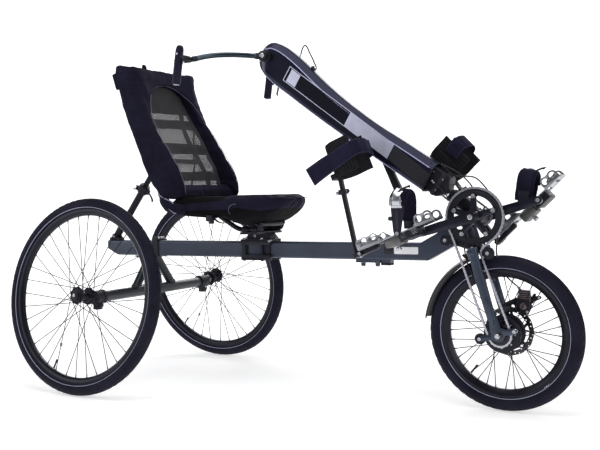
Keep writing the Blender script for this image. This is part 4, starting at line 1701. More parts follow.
# caliper: clamp body over the disc, mount arm, cable arm, adjuster, bolts
MAT["caliper_rose"] = satin("caliper_anodised", (0.105, 0.075, 0.080), rough=0.32, grain=1400.0, depth=0.08, metallic=0.6, coat=0.2)
cal = [soft_prism("caliper_body", [(1442, 352), (1449, 382), (1484, 379), (1488, 346), (1470, 338)], 50.5, 58.5, "caliper_rose", 0.003, 3, holes=[ring_outline(1467, 361, 8, 24)]),
       soft_prism("caliper_body", [(1439, 310), (1446, 350), (1486, 344), (1489, 330), (1477, 300)], 51.5, 59.5, "black_metal", 0.003, 3),
       soft_prism("caliper_body", [(1441, 314), (1449, 378), (1483, 375), (1486, 330), (1474, 304)], 39.5, 45.5, "black_metal", 0.002, 3),
       soft_prism("caliper_bridge", [(1446, 352), (1449, 383), (1485, 380), (1489, 344)], 41.5, 55, "caliper_rose", 0.003, 3),
       soft_prism("caliper_arm", [(1397, 301), (1446, 313), (1452, 351), (1438, 355), (1391, 332)], 52.5, 58, "black_metal", 0.002, 2,
                  holes=[ring_outline(1428, 326, 5.5, 16)]),
       soft_prism("cable_arm", hull([(1492, 352, 9), (1514, 358, 5.5)]), 49, 54.5, "black_metal", 0.0015, 2),
       soft_prism("cable_arm", hull([(1486, 344, 8), (1497, 366, 4)]), 54, 60, "black_metal", 0.0015, 2),
       smooth_by_angle(lathe("adjuster", [(.0001, 0), (.0120, 0), (.0128, .001), (.0128, .006), (.0110, .009), (.0060, .010), (.0060, .012), (.0001, .012)], at(1466, 58.5, 322), Y, "caliper_rose", 40)),
       smooth_by_angle(lathe("piston", [(.0001, 0), (.0074, 0), (.0074, .0045), (.0062, .0058), (.0001, .006)], at(1467, 52, 361), Y, "dark_steel", 32)),
       smooth_by_angle(lathe("piston", [(.0001, 0), (.0102, 0), (.0110, .001), (.0110, .006), (.0085, .009), (.0040, .0095), (.0040, .0075), (.0001, .0075)], at(1466, 39.5, 330), -Y, "caliper_rose", 40)),
       smooth_by_angle(lathe("barrel", [(.0001, 0), (.0042, 0), (.0046, .002), (.0046, .012), (.0036, .016), (.0001, .016)], at(1455, 50, 378), Vector((-.62, .1, .78)), "steel", 20)),
       bolt("caliper_bolt", at(1404, 58, 314), Y, 0.005, 0.004), bolt("caliper_bolt", at(1440, 58, 332), Y, 0.005, 0.004),
       bolt("caliper_bolt", at(1450, 39.5, 368), -Y, 0.0042, 0.003), bolt("caliper_bolt", at(1478, 39.5, 312), -Y, 0.0042, 0.003),
       bolt("cable_bolt", at(1513, 49, 358), -Y, 0.0035, 0.003)]
for k in range(4):
    cal.append(soft_prism("caliper_fin", [(1450, 355 + k * 6), (1483, 353 + k * 6), (1483, 355.4 + k * 6), (1450, 357.4 + k * 6)], 38.2, 40, "caliper_rose", 0.0003, 1))
piece(join("brake_caliper_visual", cal), "front_end", "black_metal", "brake_caliper")

# bottom bracket shell, steerer clamp and web, softened
stem = [soft_prism("stem_web", [(1304, 592), (1341, 600), (1345, 632), m2(60, 26), m2(120, 22), m2(120, -18), m2(60, -14)], -21.5, 21.5, "black_metal", 0.006, 4),
        soft_prism("stem_arm", [(1306, 590), (1304, 606), (1214, 603), (1118, 572), (1118, 556), (1218, 587)], -14.8, 14.8, "black_metal", 0.003, 3),
        smooth_by_angle(lathe("bb_shell", [(.0121, -.033), (.0200, -.033), (.0210, -.032), (.0210, .032), (.0200, .033), (.0121, .033)], bb, Y, "black_metal", 56, closed=True)),
        smooth_by_angle(lathe("bb_cup", [(.0121, .0332), (.0212, .0332), (.0218, .0340), (.0218, .0362), (.0205, .0372), (.0121, .0374)], bb, -Y, "black_metal", 56, closed=True)),
        smooth_by_angle(lathe("stem_clamp", [(.0139, .088), (.0203, .088), (.0210, .089), (.0210, .123), (.0203, .124), (.0139, .124)], head(0), HEAD_DIR, "black_metal", 48, closed=True))]
for t in (96, 114):
    stem.append(bolt("stem_bolt", head(t, -14) - HEAD_X * 0.017, -Y, 0.004, 0.006))
piece(join("steering_stem_visual", stem), "front_end", "black_metal", "steering_stem")

# ------------------------------------------------------------------ foot supports
def foot_plane(side_name):
    px, pz = PED[side_name]
    phi = math.radians(21.6 if side_name == "right" else 44.0)
    s = -1 if side_name == "right" else 1
    A = Vector((math.cos(phi), 0, math.sin(phi)))
    B = Vector((-math.sin(phi), 0, math.cos(phi)))
    O = at(px, 0, pz)
    return s, A, B, O


def stadium(a0, a1, b, r, seg=8):
    out = []
    for k in range(seg + 1):
        t = math.radians(-90 + 180 * k / seg)
        out.append((a1 + r * math.cos(t), b + r * math.sin(t)))
    for k in range(seg + 1):
        t = math.radians(90 + 180 * k / seg)
        out.append((a0 + r * math.cos(t), b + r * math.sin(t)))
    return out


for side_name in ("right", "left"):
    s, A, B, O = foot_plane(side_name)

    def P(a, y, b):
        """Foot-frame millimetres, y measured outward from the centre plane."""
        return O + A * (a / 1000) + Y * (s * y / 1000) + B * (b / 1000)

    def fplate(name, outline, y0, y1, mat, holes=(), bevel=0.0012, segments=2):
        """Plate in the foot's side plane, from y0 to y1 outward."""
        return plate(name, [(a / 1000, b / 1000) for a, b in outline], O + Y * (s * (y0 + y1) / 2000), A, B, abs(y1 - y0) / 1000, mat,
                     [[(a / 1000, b / 1000) for a, b in h] for h in holes], bevel, segments)

    def sole(name, outline, b0, b1, mat, holes=(), bevel=0.0012):
        """Plate lying along the sole; outline as (a, y outward)."""
        return plate(name, [(a / 1000, s * y / 1000) for a, y in outline], O + B * ((b0 + b1) / 2000), A, Y, (b1 - b0) / 1000, mat,
                     [[(a / 1000, s * y / 1000) for a, y in h] for h in holes], bevel, 2)

    parts = []
    outline = [(-180, 120), (-176, 118), (94, 118), (99, 123), (99, 193), (94, 198), (-176, 198), (-180, 196)]
    slots = [[(a + 5.5 * math.cos(t), 158 + 24 * math.sin(t)) for t in (2 * math.pi * k / 20 for k in range(20))] for a in (-150, -115, 40, 74)]
    parts.append(sole("sole", outline, 12, 16, "foot_alloy", slots, 0.0010))
    # ribbed bearing block round the pedal axle, with its dark end cover
    block_line = []
    for k, (a, b) in enumerate([(-28, -11), (-28, 12), (28, 12), (28, -11), (24, -14), (-24, -14)]):
        block_line.append((a, b))
    parts.append(fplate("bearing_block", block_line, 119, 197, "black_metal", [ring_outline(0, 0, 7.2, 24)], 0.0015))
    for k in range(4):
        b = -5.4 + k * 4.6
        parts.append(fplate("block_fin", [(-29.2, b), (-29.2, b + 1.4), (29.2, b + 1.4), (29.2, b)], 121, 197.6, "foot_alloy", (), 0.0005, 1))
    parts.append(smooth_by_angle(lathe("end_cover", [(.0001, .1970), (.0118, .1970), (.0125, .1978), (.0125, .1992), (.0100, .2000), (.0001, .2000)], O, Y * s, "black_plastic", 36)))
    # slide block under the sole and its clamp knob
    parts.append(fplate("slide_block", [(-90, -13), (-90, 11.8), (-35, 11.8), (-35, -13), (-39, -15), (-86, -15)], 128, 188, "slide_grey", (), 0.0012))
    parts.append(smooth_by_angle(lathe("slide_knob", [(.0001, 0), (.0055, 0), (.0055, .005), (.0085, .006), (.0090, .008), (.0090, .015), (.0080, .017), (.0001, .0175)],
                                       P(-62, 158, -15), -B, "steel", 28)))
    # toe and heel side plates: lobes round large holes
    for y0, y1 in ((118, 121), (195, 198)):
        toe_line = [(33, 14), (33, 30)] + [(50 + 15.5 * math.cos(t), 32 + 15.5 * math.sin(t)) for t in (math.radians(165 - 110 * k / 8) for k in range(9))] \
            + [(80 + 17 * math.cos(t), 32 + 15.5 * math.sin(t)) for t in (math.radians(125 - 125 * k / 9) for k in range(10))] + [(98, 14)]
        parts.append(fplate("toe_plate", toe_line, y0, y1, "foot_alloy", [ring_outline(50, 32, 10, 28), ring_outline(80, 32, 10, 28)], 0.0007))
        heel_line = [(-181, 14), (-181, 38)] + [(-167 + 12 * math.cos(t), 38 + 9 * math.sin(t)) for t in (math.radians(180 - 110 * k / 6) for k in range(7))] \
            + [(-150 + 13 * math.cos(t), 36 + 11.8 * math.sin(t)) for t in (math.radians(120 - 70 * k / 5) for k in range(6))] \
            + [(-115 + 13 * math.cos(t), 36 + 11.8 * math.sin(t)) for t in (math.radians(130 - 110 * k / 7) for k in range(8))] + [(-86, 24), (-84, 14)]
        parts.append(fplate("heel_plate", heel_line, y0, y1, "foot_alloy", [ring_outline(-150, 36, 9, 28), ring_outline(-115, 36, 9, 28)], 0.0007))
    # screws along the outer edge and the heel
    for a, b in ((-172, 24), (-98, 21), (42, 18), (92, 19)):
        parts.append(bolt("plate_screw", P(a, 198, b), Y * s, 0.0042, 0.0026))
    parts.append(fplate("heel_block", [(-214, -1), (-214, 12), (-210, 13.5), (-181, 13.5), (-181, -1), (-184, -2), (-211, -2)], 141, 175, "black_metal", (), 0.0012))
    parts.append(fplate("heel_bar", [(-206, -1), (-206, 11.8), (-122, 11.8), (-122, 3), (-128, -1)], 148, 168, "black_metal", (), 0.0012))
    parts.append(bolt("heel_bolt", P(-190, 175, 6), Y * s, 0.0055, 0.0045))
    for a in (-196,):
        parts.append(bolt("heel_bolt", P(a, 158, -2), -B, 0.0045, 0.0035))
    for a in (-70, 66):
        for y in (132, 184):
            parts.append(bolt("sole_bolt", P(a, y, 16), B, 0.0036, 0.0016))
    piece(join(f"footplate_{side_name}_visual", parts), f"foot_support_{side_name}", "alloy", f"footplate_{side_name}")

    # instep strap: stiff outer upright, webbing arch, ratchet buckle
    body = f"foot_support_{side_name}"
    base_a, lean = (-30, 0.0) if side_name == "right" else (-70, math.radians(-6))
    A2 = Vector((math.cos(lean), 0, math.sin(lean)))
    B2 = Vector((-math.sin(lean), 0, math.cos(lean)))
    O2 = P(base_a, 0, 16) + A2 * 0.032 + B2 * 0.002

    def Q(a, y, b):
        b = b if b < 40 else 40 + (b - 40) * 0.86
        return O2 + A2 * (a / 1000) + Y * (s * y / 1000) + B2 * (b / 1000)

    def splate(name, outline, y0, y1, mat, bevel=0.0012, segments=2):
        return plate(name, [(a / 1000, b / 1000) for a, b in outline], O2 + Y * (s * (y0 + y1) / 2000), A2, B2, abs(y1 - y0) / 1000, mat, (), bevel, segments)

    def cube_at(name, c, du, dv, dw, mat, bevel=0.0012):
        return plate(name, [(-du / 2, -dv / 2), (du / 2, -dv / 2), (du / 2, dv / 2), (-du / 2, dv / 2)], c, A2, B2, dw, mat, (), bevel, 2)

    ank = []
    ank.append(splate("upright", [(-42, -10), (-46, 4), (-50, 44), (-53, 74), (-52, 88), (-46, 95), (-15, 95), (-9, 88), (-9, 74), (-13, 44), (-19, 4), (-24, -10), (-33, -13)],
                      199.4, 203.8, "strap_shell", 0.0018, 3))
    ank.append(splate("upright_rib", [(-34, 8), (-37, 78), (-31, 84), (-25, 78), (-26, 8)], 203.4, 205.2, "strap_shell", 0.0008, 2))
    ank.append(bolt("upright_bolt", Q(-32, 203.8, -3), Y * s, 0.0064, 0.0038))
    ank.append(splate("upright_in", [(-46, 8), (-50, 70), (-46, 78), (-16, 78), (-11, 70), (-16, 8)], 112.4, 116.6, "strap_shell", 0.0015, 2))
    arch = curve_points([Q(-31, 203.4, 88), Q(-31, 203.6, 112), Q(-30, 198, 132), Q(-28, 182, 146), Q(-27, 158, 151.5), Q(-27, 134, 146), Q(-28, 118, 128),
                         Q(-30, 112.4, 102), Q(-31, 112.0, 72)], 6)
    ank.append(section_sweep("instep_band", arch, rounded(0.0040, 0.044, 0.0016, 3), "strap", up=Y * s))
    pad_pts = curve_points([Q(-30, 198.6, 92), Q(-30, 198.2, 112), Q(-29, 192, 127), Q(-28, 178, 139), Q(-27, 158, 144), Q(-27, 139, 139), Q(-28, 125, 124), Q(-29, 119.0, 100),
                            Q(-30, 118.4, 62), Q(-30, 119.0, 34)], 6)
    pad_secs = []
    for k in range(len(pad_pts)):
        g = k / (len(pad_pts) - 1)
        t = 0.0092 * math.sqrt(max(0.1, 1 - (2 * g - 1) ** 6))
        pad_secs.append(rounded(t, 0.058, t * 0.46, 4))
    pad_o = section_sweep("instep_pad", pad_pts, pad_secs, "fabric", up=Y * s)
    ank.append(ripple(pad_o, 0.0014, 46.0, 4))
    for off in (-0.0245, 0.0245):
        edge = []
        for k in range(2, len(pad_pts) - 2):
            edge.append(pad_pts[k] + A2 * off)
        ank.append(tube("pad_piping", edge, 0.0030, "strap", 8))
    # ratchet buckle on the outer side
    ank.append(cube_at("buckle_base", Q(-31, 206.0, 100), 0.036, 0.030, 0.0042, "steel"))
    for a in (-47.5, -14.5):
        ank.append(cube_at("buckle_cheek", Q(a, 209.5, 106), 0.0026, 0.028, 0.011, "steel", 0.0007))
    lev = curve_points([Q(-31, 210.0, 92), Q(-31, 213.5, 104), Q(-31, 213.0, 118), Q(-30, 208, 131), Q(-27, 201, 142), Q(-22, 196, 150)], 5)
    ank.append(section_sweep("buckle_lever", lev, rounded(0.0030, 0.027, 0.0012, 3), "steel", up=Y * s))
    handle = curve_points([Q(-28, 203, 138), Q(-16, 200, 150), Q(-2, 196, 158), Q(8, 194, 161)], 5)
    ank.append(section_sweep("buckle_handle", handle, rounded(0.0040, 0.0065, 0.0015, 3), "dark_steel", up=Y * s))
    ank.append(tube("buckle_bar", [Q(6, 189, 157), Q(8, 194, 161), Q(9, 199, 164)], 0.0026, "dark_steel", 10))
    ladder = curve_points([Q(-30, 207.0, 112), Q(-30, 205.0, 126), Q(-29, 195, 142), Q(-28, 180, 151.5), Q(-27, 164, 155)], 5)
    ank.append(section_sweep("ladder", ladder, rounded(0.0022, 0.015, 0.0008, 2), "steel", up=Y * s))
    for k in range(3, len(ladder) - 1, 2):
        t = (ladder[k] - ladder[k - 1]).normalized()
        nrm = t.cross(A2).normalized()
        if nrm.dot(ladder[k] - Q(-30, 158, 90)) < 0:
            nrm = -nrm
        ank.append(tube("ladder_tooth", [ladder[k] - A2 * 0.006 + nrm * 0.0016, ladder[k] + nrm * 0.0016, ladder[k] + A2 * 0.006 + nrm * 0.0016], 0.0009, "steel", 6))
    ank.append(tube("buckle_pin", [Q(-50, 210, 108), Q(-31, 210, 108), Q(-12, 210, 108)], 0.0026, "steel", 12))
    ank.append(smooth_by_angle(lathe("side_knob", [(.0001, 0), (.0060, 0), (.0068, .001), (.0068, .012), (.0058, .014), (.0001, .0145)], Q(-47, 201, 44), -A2, "black_plastic", 24)))
    piece(join(f"ankle_strap_{side_name}_visual", ank), body, "fabric", f"ankle_strap_{side_name}")

    # calf post with its height clamp
    p0, p1 = P(-206, 158, 14), P(-167, 158, 262)
    d = (p1 - p0).normalized()
    line = [p0 + d * (0.264 * k / 8) for k in range(9)]
    post = [smooth_by_angle(section_sweep("post", line, rounded(0.010, 0.0255, 0.0035, 3), "black_metal", up=A), 40)]
    c = p0 + d * 0.205
    side_v = Y * s
    fwd = side_v.cross(d).normalized()
    if fwd.dot(A) < 0:
        fwd = -fwd
    post.append(plate("post_clamp", [(-.0095, -.017), (.0095, -.017), (.0110, -.0155), (.0110, .0155), (.0095, .017), (-.0095, .017), (-.0110, .0155), (-.0110, -.0155)], c, fwd, Y, 0.016, "black_plastic", (), 0.0012, 2))
    post.append(tube("clamp_screw", [c - fwd * 0.026, c, c + fwd * 0.018], 0.0034, "steel", 14))
    post.append(smooth_by_angle(lathe("clamp_knob", [(.0001, 0), (.0058, 0), (.0064, .001), (.0064, .008), (.0055, .0095), (.0001, .0095)], c - fwd * 0.018, -fwd, "steel", 20)))
    post.append(smooth_by_angle(lathe("clamp_nut", [(.0001, 0), (.0058, 0), (.0064, .001), (.0064, .006), (.0001, .0065)], c + fwd * 0.014, fwd, "black_plastic", 20)))
    post.append(plate("post_head", [(-.012, -.020), (.012, -.020), (.015, -.015), (.015, .015), (.012, .020), (-.012, .020)], P(-178, 158, 272), A, Y, 0.020, "black_plastic", (), 0.002, 2))
    piece(join(f"calf_post_{side_name}_visual", post), body, "black_metal", f"calf_post_{side_name}")

    # calf rest: ribbed trough, open to the front, with its wide strap
    path = [(-67 - 51 * k / 8, 101.5 + 2.0 * math.sin(math.pi * k / 8)) for k in range(8)]
    path += [(-118 + 56.5 * math.cos(t), 158 + 56.5 * math.sin(t)) for t in (math.radians(-90 - 180 * k / 40) for k in range(41))]
    path += [(-118 + 51 * k / 8, 214.5 - 2.0 * math.sin(math.pi * k / 8)) for k in range(1, 9)]
    cum = [0.0]
    for p, q in zip(path, path[1:]):
        cum.append(cum[-1] + math.hypot(q[0] - p[0], q[1] - p[1]))
    rib_n = round(cum[-1] / 11.6)
    cols = rib_n * 8
    dense, j = [], 0
    for k in range(cols + 1):
        d = cum[-1] * k / cols
        while j < len(cum) - 2 and cum[j + 1] < d:
            j += 1
        g = (d - cum[j]) / (cum[j + 1] - cum[j])
        dense.append((path[j][0] * (1 - g) + path[j + 1][0] * g, path[j][1] * (1 - g) + path[j + 1][1] * g))
    heights = [257.5, 258.5, 260.5, 263, 264.5, 267] + [274 + 84 * k / 7 for k in range(8)] + [365, 367.5, 369, 371.5, 373.5, 374.5]
    hh = len(heights)
    verts, faces = [], []
    nn = len(dense)
    for i, (a, y) in enumerate(dense):
        p, q = dense[max(0, i - 1)], dense[min(nn - 1, i + 1)]
        ta, ty = q[0] - p[0], q[1] - p[1]
        ln = math.hypot(ta, ty)
        na, ny = ty / ln, -ta / ln
        if (a + 118) * na + (y - 158) * ny < 0:
            na, ny = -na, -ny
        rib = 3.0 * (abs(math.sin(math.pi * i / 8)) ** 0.55) - 1.2
        for layer in (0, 1):
            for r_i, h in enumerate(heights):
                inner_row = 4 <= r_i <= hh - 5
                edge_row = r_i < 3 or r_i > hh - 4
                bulge = -1.4 * ((h - 316) / 58) ** 2
                if layer == 0:
                    o = (rib if inner_row else 0.8 if edge_row else -0.6) + bulge
                    if r_i in (0, hh - 1):
                        o -= 1.2
                else:
                    o = -4.2 + bulge * .5 + (0.9 if r_i in (0, hh - 1) else 0)
                verts.append(P(a + na * o, y + ny * o, h))
    row = 2 * hh
    for i in range(nn - 1):
        for j in range(hh - 1):
            a0 = i * row + j
            faces.append((a0, a0 + 1, a0 + row + 1, a0 + row))
            b0 = a0 + hh
            faces.append((b0, b0 + row, b0 + row + 1, b0 + 1))
        faces.append((i * row, (i + 1) * row, (i + 1) * row + hh, i * row + hh))
        faces.append((i * row + hh - 1, i * row + 2 * hh - 1, (i + 1) * row + 2 * hh - 1, (i + 1) * row + hh - 1))
    for i in (0, nn - 1):
        for j in range(hh - 1):
            b0 = i * row + j
            faces.append((b0, b0 + hh, b0 + hh + 1, b0 + 1) if i == 0 else (b0, b0 + 1, b0 + hh + 1, b0 + hh))
    shell = smooth_by_angle(new_object("calf_trough", verts, faces, "calf_fabric"), 50)
    calf = [shell]
    strap_line = curve_points([P(-240, 217, 295), P(-206, 219, 301), P(-172, 220.2, 306), P(-138, 220.8, 311), P(-104, 220.5, 316), P(-80, 219.5, 319), P(-62, 215.5, 321.5), P(-51, 206, 323),
                               P(-45, 190, 324), P(-42, 162, 324.5), P(-45, 134, 324), P(-51, 114, 323), P(-52, 102, 322), P(-74, 97.6, 319), P(-100, 97.0, 316)], 6)
    # the band's width lies along the post direction and narrows a little toward the front
    vs, fs = [], []
    count = len(strap_line)
    for k, p in enumerate(strap_line):
        t = (strap_line[min(k + 1, count - 1)] - strap_line[max(k - 1, 0)]).normalized()
        w = (B - t * B.dot(t)).normalized()
        nrm = t.cross(w)
        wide = 0.064 - 0.011 * min(1.0, k / (count * 0.45))
        sway = 0.0012 * math.sin(k * 0.21) + 0.0006 * math.sin(k * 0.57 + 1)
        for u, v in rounded(0.0030, wide, 0.0012, 3):
            vs.append(p + nrm * (u + sway) + w * v)
    q = len(rounded(0.0030, 0.058, 0.0012, 3))
    for k in range(count - 1):
        for j in range(q):
            fs.append((k * q + j, k * q + (j + 1) % q, (k + 1) * q + (j + 1) % q, (k + 1) * q + j))
    fs += [tuple(range(q)), tuple(range((count - 1) * q, count * q))]
    calf.append(smooth_by_angle(new_object("calf_strap", vs, fs, "calf_strap"), 50))
    # stitched border of the band
    for side_sign in (-1, 1):
        st = []
        for k, p in enumerate(strap_line[1:-1], 1):
            t = (strap_line[k + 1] - strap_line[k - 1]).normalized()
            w = (B - t * B.dot(t)).normalized()
            nrm = t.cross(w)
            sway = 0.0012 * math.sin(k * 0.21) + 0.0006 * math.sin(k * 0.57 + 1)
            out = 1 if nrm.dot(p - P(-118, 158, 316)) > 0 else -1
            wide = 0.064 - 0.011 * min(1.0, k / (count * 0.45))
            st.append(p + w * (side_sign * (wide / 2 - 0.0035)) + nrm * (sway + 0.0014 * out))
        calf.append(tube("strap_stitch", st, 0.0005, "thread", 6))
    piece(join(f"calf_shell_{side_name}_visual", calf), body, "fabric", f"calf_shell_{side_name}")

# ------------------------------------------------------------------ frame details
def weld(points, r, closed=True):
    """Bead of overlapping ripples along a joint."""
    dense = []
    n = len(points)
    for i in range(n if closed else n - 1):
        a, b = points[i], points[(i + 1) % n]
        k = max(1, int((b - a).length / 0.0022))
        for q in range(k):
            dense.append(a.lerp(b, q / k))
    secs = [circle(r * (1 + 0.18 * math.sin(i * 2.1)), 8) for i in range(len(dense))]
    return section_sweep("weld", dense, secs, "frame_paint", closed=closed, caps=not closed)


extra = []
# beads: gusset tubes to beam and tube, head tube to neck
for s in (-1, 1):
    p, q = at(0, s * 118, 346), at(0, s * 16, 473)
    d = (q - p).normalized()
    for c, up_ in ((p - d * -0.012, d), (q - d * 0.004, d)):
        u = d.cross(Vector((1, 0, 0))).normalized()
        v = d.cross(u)
        extra.append(weld([c + u * (0.0182 * math.cos(t)) + v * (0.0182 * math.sin(t)) for t in (2 * math.pi * k / 24 for k in range(24))], 0.0016))
extra.append(weld([head(18, 0) + HEAD_X * (0.0203 * math.cos(t)) + Y * (0.0203 * math.sin(t)) for t in (2 * math.pi * k / 30 for k in range(30))], 0.0014))
# head tube bearing caps
for t in (17.8, 84.2):
    extra.append(smooth_by_angle(lathe("head_cap", [(.0141, -.0022), (.0212, -.0022), (.0220, -.0014), (.0220, .0012), (.0208, .0022), (.0141, .0022)], head(t), HEAD_DIR, "black_metal", 48, closed=True)))
piece(join("frame_welds", extra), "frame", "frame_paint")

# open tail of the tube: dark lining in a rim
tail = soft_prism("tail_plug", [(-217.0, 530), (-217.0, 503), (-214.5, 503), (-214.5, 530)], -21, 21, "black_plastic", 0.0006)
piece(tail, "frame", "black_metal")
tail.name = "tail_plug"

# blank plate on the neck
MAT["plate_white"] = satin("blank_plate", (0.66, 0.67, 0.71), rough=0.35, grain=2600.0, depth=0.05, coat=0.3)
MAT["plate_dark"] = satin("blank_plate_dark", (0.006, 0.006, 0.008), rough=0.35, grain=2600.0, depth=0.05, coat=0.3)
np_ = [soft_prism("neck_plate_end", [(1018, 496), (1020, 494), (1053, 494), (1053, 518), (1020, 518), (1018, 516)], s * 25.0, s * 25.9, "plate_dark", 0.0003) for s in (-1, 1)]
np_ += [soft_prism("neck_plate", [(1054, 496), (1056, 494), (1138, 494), (1140, 496), (1140, 516), (1138, 518), (1056, 518), (1054, 516)], s * 25.0, s * 25.9, "plate_white", 0.0003)
       for s in (-1, 1)]
piece(join("neck_plate", np_), "frame", "black_metal")

# seat mount: clamp screws, washers and side cheeks
sm = []
for a in (458, 536):
    for s in (-1, 1):
        sm.append(smooth_by_angle(lathe("clamp_washer", [(.0001, 0), (.0085, 0), (.0085, .0015), (.0001, .0015)], at(a, s * 32, 541), Vector((0, 0, 1)), "steel", 24)))
        sm.append(bolt("clamp_bolt", at(a, s * 32, 542.5), Vector((0, 0, 1)), 0.0058, 0.0045))
        if a < 500: sm.append(smooth_by_angle(lathe("clamp_sleeve", [(.0052, 0), (.0085, 0), (.0085, .060), (.0052, .060)], at(a, s * 33.5, 473), Vector((0, 0, 1)), "black_metal", 24, closed=True)))
for s in (-1, 1):
    sm.append(soft_prism("clamp_cheek", [(452, 470), (452, 536), (468, 536), (468, 470)], s * 25.3, s * 30.0, "black_metal", 0.001))
    sm.append(soft_prism("clamp_cheek", [(552, 470), (552, 536), (568, 536), (568, 470)], s * 25.3, s * 30.0, "black_metal", 0.001))
    sm.append(soft_prism("clamp_channel", [(448, 521), (448, 541), (574, 541), (574, 521)], s * 25.3, s * 39.5, "black_metal", 0.0015))
    sm.append(soft_prism("clamp_channel", [(448, 464), (448, 485), (574, 485), (574, 464)], s * 25.3, s * 39.5, "black_metal", 0.0015))
    sm.append(bolt("post_bolt", at(508, s * 30, 553), Y * s, 0.0060, 0.0045))
    sm.append(bolt("post_bolt", at(470, s * 30, 547), Y * s, 0.0045, 0.0035))
    for a in (496, 534):
        sm.append(smooth_by_angle(lathe("rail_clamp", [(.0092, -.012), (.0120, -.012), (.0126, -.011), (.0126, .011), (.0120, .012), (.0092, .012)], at(a, s * 75, 578), Vector((1, 0, 0)), "black_metal", 36, closed=True)))
sm.append(smooth_by_angle(lathe("release_pivot", [(.0001, 0), (.0062, 0), (.0062, .012), (.0001, .012)], at(576, -34, 537), -Y, "steel", 24)))
sm.append(section_sweep("release_lever", curve_points([at(560, -44, 540), at(580, -46, 541), at(594, -46, 544), at(603, -45, 550)], 5), rounded(0.005, 0.010, 0.002, 3), "black_plastic"))
piece(join("seat_mount_fittings", sm), "frame", "black_metal")

# strut: quick release, clamp slot, foot pin
st0, st1 = Vector((-188, 0, 547)), Vector((91, 0, 907))
sd = (st1 - st0).normalized()
q = st0.lerp(st1, 0.53)
qc = at(q.x, 0, q.z)
sdir = Vector((sd.x, 0, sd.z)).normalized()
sn_ = Vector((sdir.z, 0, -sdir.x))
rel = [smooth_by_angle(lathe("release_collar", [(.0191, -.014), (.0212, -.014), (.0220, -.013), (.0220, .013), (.0212, .014), (.0191, .014)], qc, sdir, "black_metal", 44, closed=True)),
       soft_prism("collar_ear", [(q.x - 40, q.z + 2), (q.x - 16, q.z - 8), (q.x - 10, q.z + 10), (q.x - 34, q.z + 18)], -9, 9, "black_metal", 0.002),
       tube("release_skewer", [at(q.x - 30, -22, q.z + 6), at(q.x - 30, 0, q.z + 6), at(q.x - 30, 20, q.z + 6)], 0.0032, "steel", 14),
       smooth_by_angle(lathe("release_nut", [(.0001, 0), (.0072, 0), (.0078, .001), (.0078, .009), (.0001, .0095)], at(q.x - 30, -14, q.z + 6), -Y, "steel", 24)),
       section_sweep("release_handle", curve_points([at(q.x - 30, 16, q.z + 6), at(q.x - 16, 24, q.z - 6), at(q.x + 8, 25, q.z - 20), at(q.x + 22, 24, q.z - 40), at(q.x + 24, 23, q.z - 52)], 5),
                     rounded(0.006, 0.011, 0.0025, 3), "black_plastic"),
       soft_prism("collar_pad", [(q.x + 8, q.z - 22), (q.x + 24, q.z - 24), (q.x + 30, q.z - 6), (q.x + 16, q.z + 2)], -8, 8, "black_metal", 0.002)]
for s in (-1, 1):
    rel.append(soft_prism("foot_cheek", hull([(-188, 549, 11), (-196, 538, 9), (-180, 538, 9)]), s * 14.2, s * 18.0, "black_metal", 0.0012))
    rel.append(bolt("foot_pin", at(-188, s * 18, 549), Y * s, 0.0062, 0.004))
    rel.append(bolt("foot_screw", at(-206, s * 12, 543), Vector((0, 0, 1)), 0.0042, 0.003))
piece(join("seat_strut_fittings", rel), "frame", "black_metal")

# tube collar: cable clips and silver bits on its top
col = []
for y in (-24, 0, 20):
    col.append(soft_prism("collar_tab", [(26, 538), (42, 538), (40, 546), (28, 546)], y - 5, y + 5, "alloy", 0.001))
    col.append(bolt("collar_screw", at(34, y, 546), Vector((0, 0, 1)), 0.0032, 0.0022))
piece(join("tube_collar_fittings", col), "frame", "black_metal")

# bracket under the tube
br = []
for a in (928, 982):
    br.append(bolt("bracket_bolt", at(a, 0, 451), Vector((0, 0, -1)), 0.0062, 0.0035))
    br.append(smooth_by_angle(lathe("bracket_washer", [(.0001, 0), (.0105, 0), (.0105, .0018), (.0001, .0018)], at(a, 0, 463.2), Vector((0, 0, -1)), "steel", 28)))
br.append(soft_prism("bracket_pad", [(1002, 454), (1036, 454), (1036, 464), (1002, 464)], -14.4, 14.4, "black_plastic", 0.002))
piece(join("frame_bracket_fittings", br), "frame", "alloy")

# beam ends: parking catch with its spring pin on both sides
ends = []
for s in (-1, 1):
    ends.append(smooth_by_angle(lathe("end_collar", [(.0205, .300), (.0262, .300), (.0270, .301), (.0270, .312), (.0262, .313), (.0205, .313)], at(0, 0, 338), Y * s, "black_metal", 48, closed=True)))
    ends.append(soft_prism("catch", [(-15, 299), (-15, 332), (-9, 338), (15, 338), (21, 326), (21, 305), (12, 297)], s * 318.5, s * 336, "black_metal", 0.003, 3))
    ends.append(bolt("catch_bolt", at(0, s * 322, 318) + Vector((0.0205, 0, 0)), Vector((1, 0, 0)), 0.0045, 0.0035))
    ends.append(bolt("end_bolt", at(8, s * 333, 353), Vector((.6, 0, .8)), 0.004, 0.003))
piece(join("beam_end_fittings", ends), "frame", "black_metal")


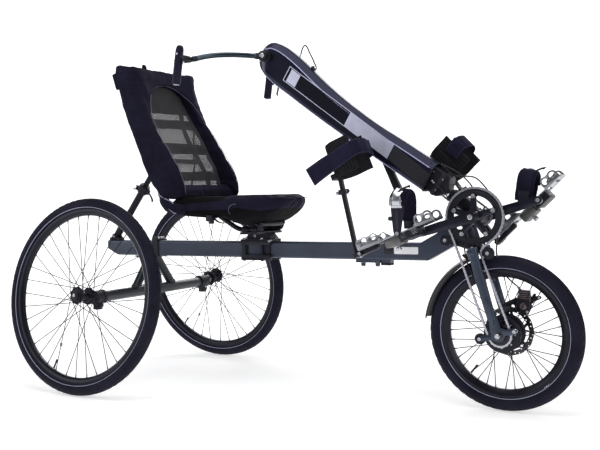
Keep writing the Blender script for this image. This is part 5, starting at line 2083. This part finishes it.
# ------------------------------------------------------------------ floor and light
def studio():
    m, t, b = nodes_of("studio_floor")
    v = coords(t)
    t.links.new(ramp(t, noise_tex(t, v, 3.0, 4), [(0.3, (0.80, 0.80, 0.81)), (0.7, (0.815, 0.815, 0.825))]), b.inputs["Base Color"])
    b.inputs["Roughness"].default_value = 0.9
    b.inputs["Specular IOR Level"].default_value = 0.1
    b.inputs["Emission Color"].default_value = (1, 1, 1, 1)
    # glows a little more toward the far cove, so that floor and wall read as one
    sep = t.nodes.new("ShaderNodeVectorMath")
    sep.operation = "DOT_PRODUCT"
    sep.inputs[1].default_value = (-0.533, 0.846, 0.0)
    t.links.new(v, sep.inputs[0])
    grow = t.nodes.new("ShaderNodeMapRange")
    grow.inputs["From Min"].default_value = 0.4
    grow.inputs["From Max"].default_value = 6.0
    grow.inputs["To Min"].default_value = 0.50
    grow.inputs["To Max"].default_value = 0.93
    t.links.new(sep.outputs["Value"], grow.inputs["Value"])
    t.links.new(grow.outputs["Result"], b.inputs["Emission Strength"])
    verts, faces = [], []
    rows = [(-9, 0), (5.0, 0), (6.2, 0.12), (7.0, 0.6), (7.4, 1.4), (7.5, 7.0)]
    yaw = 0.5625
    f = Vector((-math.sin(yaw), math.cos(yaw), 0))
    r = Vector((math.cos(yaw), math.sin(yaw), 0))
    for d, z in rows:
        for s in (-14, 14):
            verts.append(f * d + r * s + Vector((0, 0, z - 0.0005)))
    for i in range(len(rows) - 1):
        faces.append((2 * i, 2 * i + 1, 2 * i + 3, 2 * i + 2))
    floor = new_object("floor", verts, faces, m)
    floor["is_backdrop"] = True

    def area(name, loc, target, size, power, colour=(1, 1, 1)):
        l = bpy.data.lights.new(name, "AREA")
        l.shape = "RECTANGLE"
        l.size, l.size_y = size
        l.energy = power
        l.color = colour
        o = bpy.data.objects.new(name, l)
        o.location = loc
        o.rotation_mode = "QUATERNION"
        o.rotation_quaternion = (Vector(target) - Vector(loc)).to_track_quat("-Z", "Y")
        bpy.context.scene.collection.objects.link(o)

    area("top_key", (0.3, -0.6, 3.6), (0, 0, 0.5), (3.2, 2.4), 62)
    area("left_fill", (-3.2, -3.0, 2.0), (0, 0, 0.6), (1.6, 2.6), 36, (0.93, 0.96, 1.0))
    area("right_fill", (3.6, -2.6, 1.8), (0.2, 0, 0.6), (1.2, 2.4), 34)
    area("back_rim", (-1.2, 3.6, 2.6), (0, 0, 0.6), (3.0, 1.2), 40)
    w = bpy.data.worlds.new("studio")
    w.use_nodes = True
    w.node_tree.nodes["Background"].inputs["Color"].default_value = (1.0, 1.0, 1.0, 1)
    w.node_tree.nodes["Background"].inputs["Strength"].default_value = 0.16
    bpy.context.scene.world = w
    bpy.context.scene.view_settings.view_transform = "Standard"
    bpy.context.scene.view_settings.look = "None"


studio()

low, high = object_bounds()
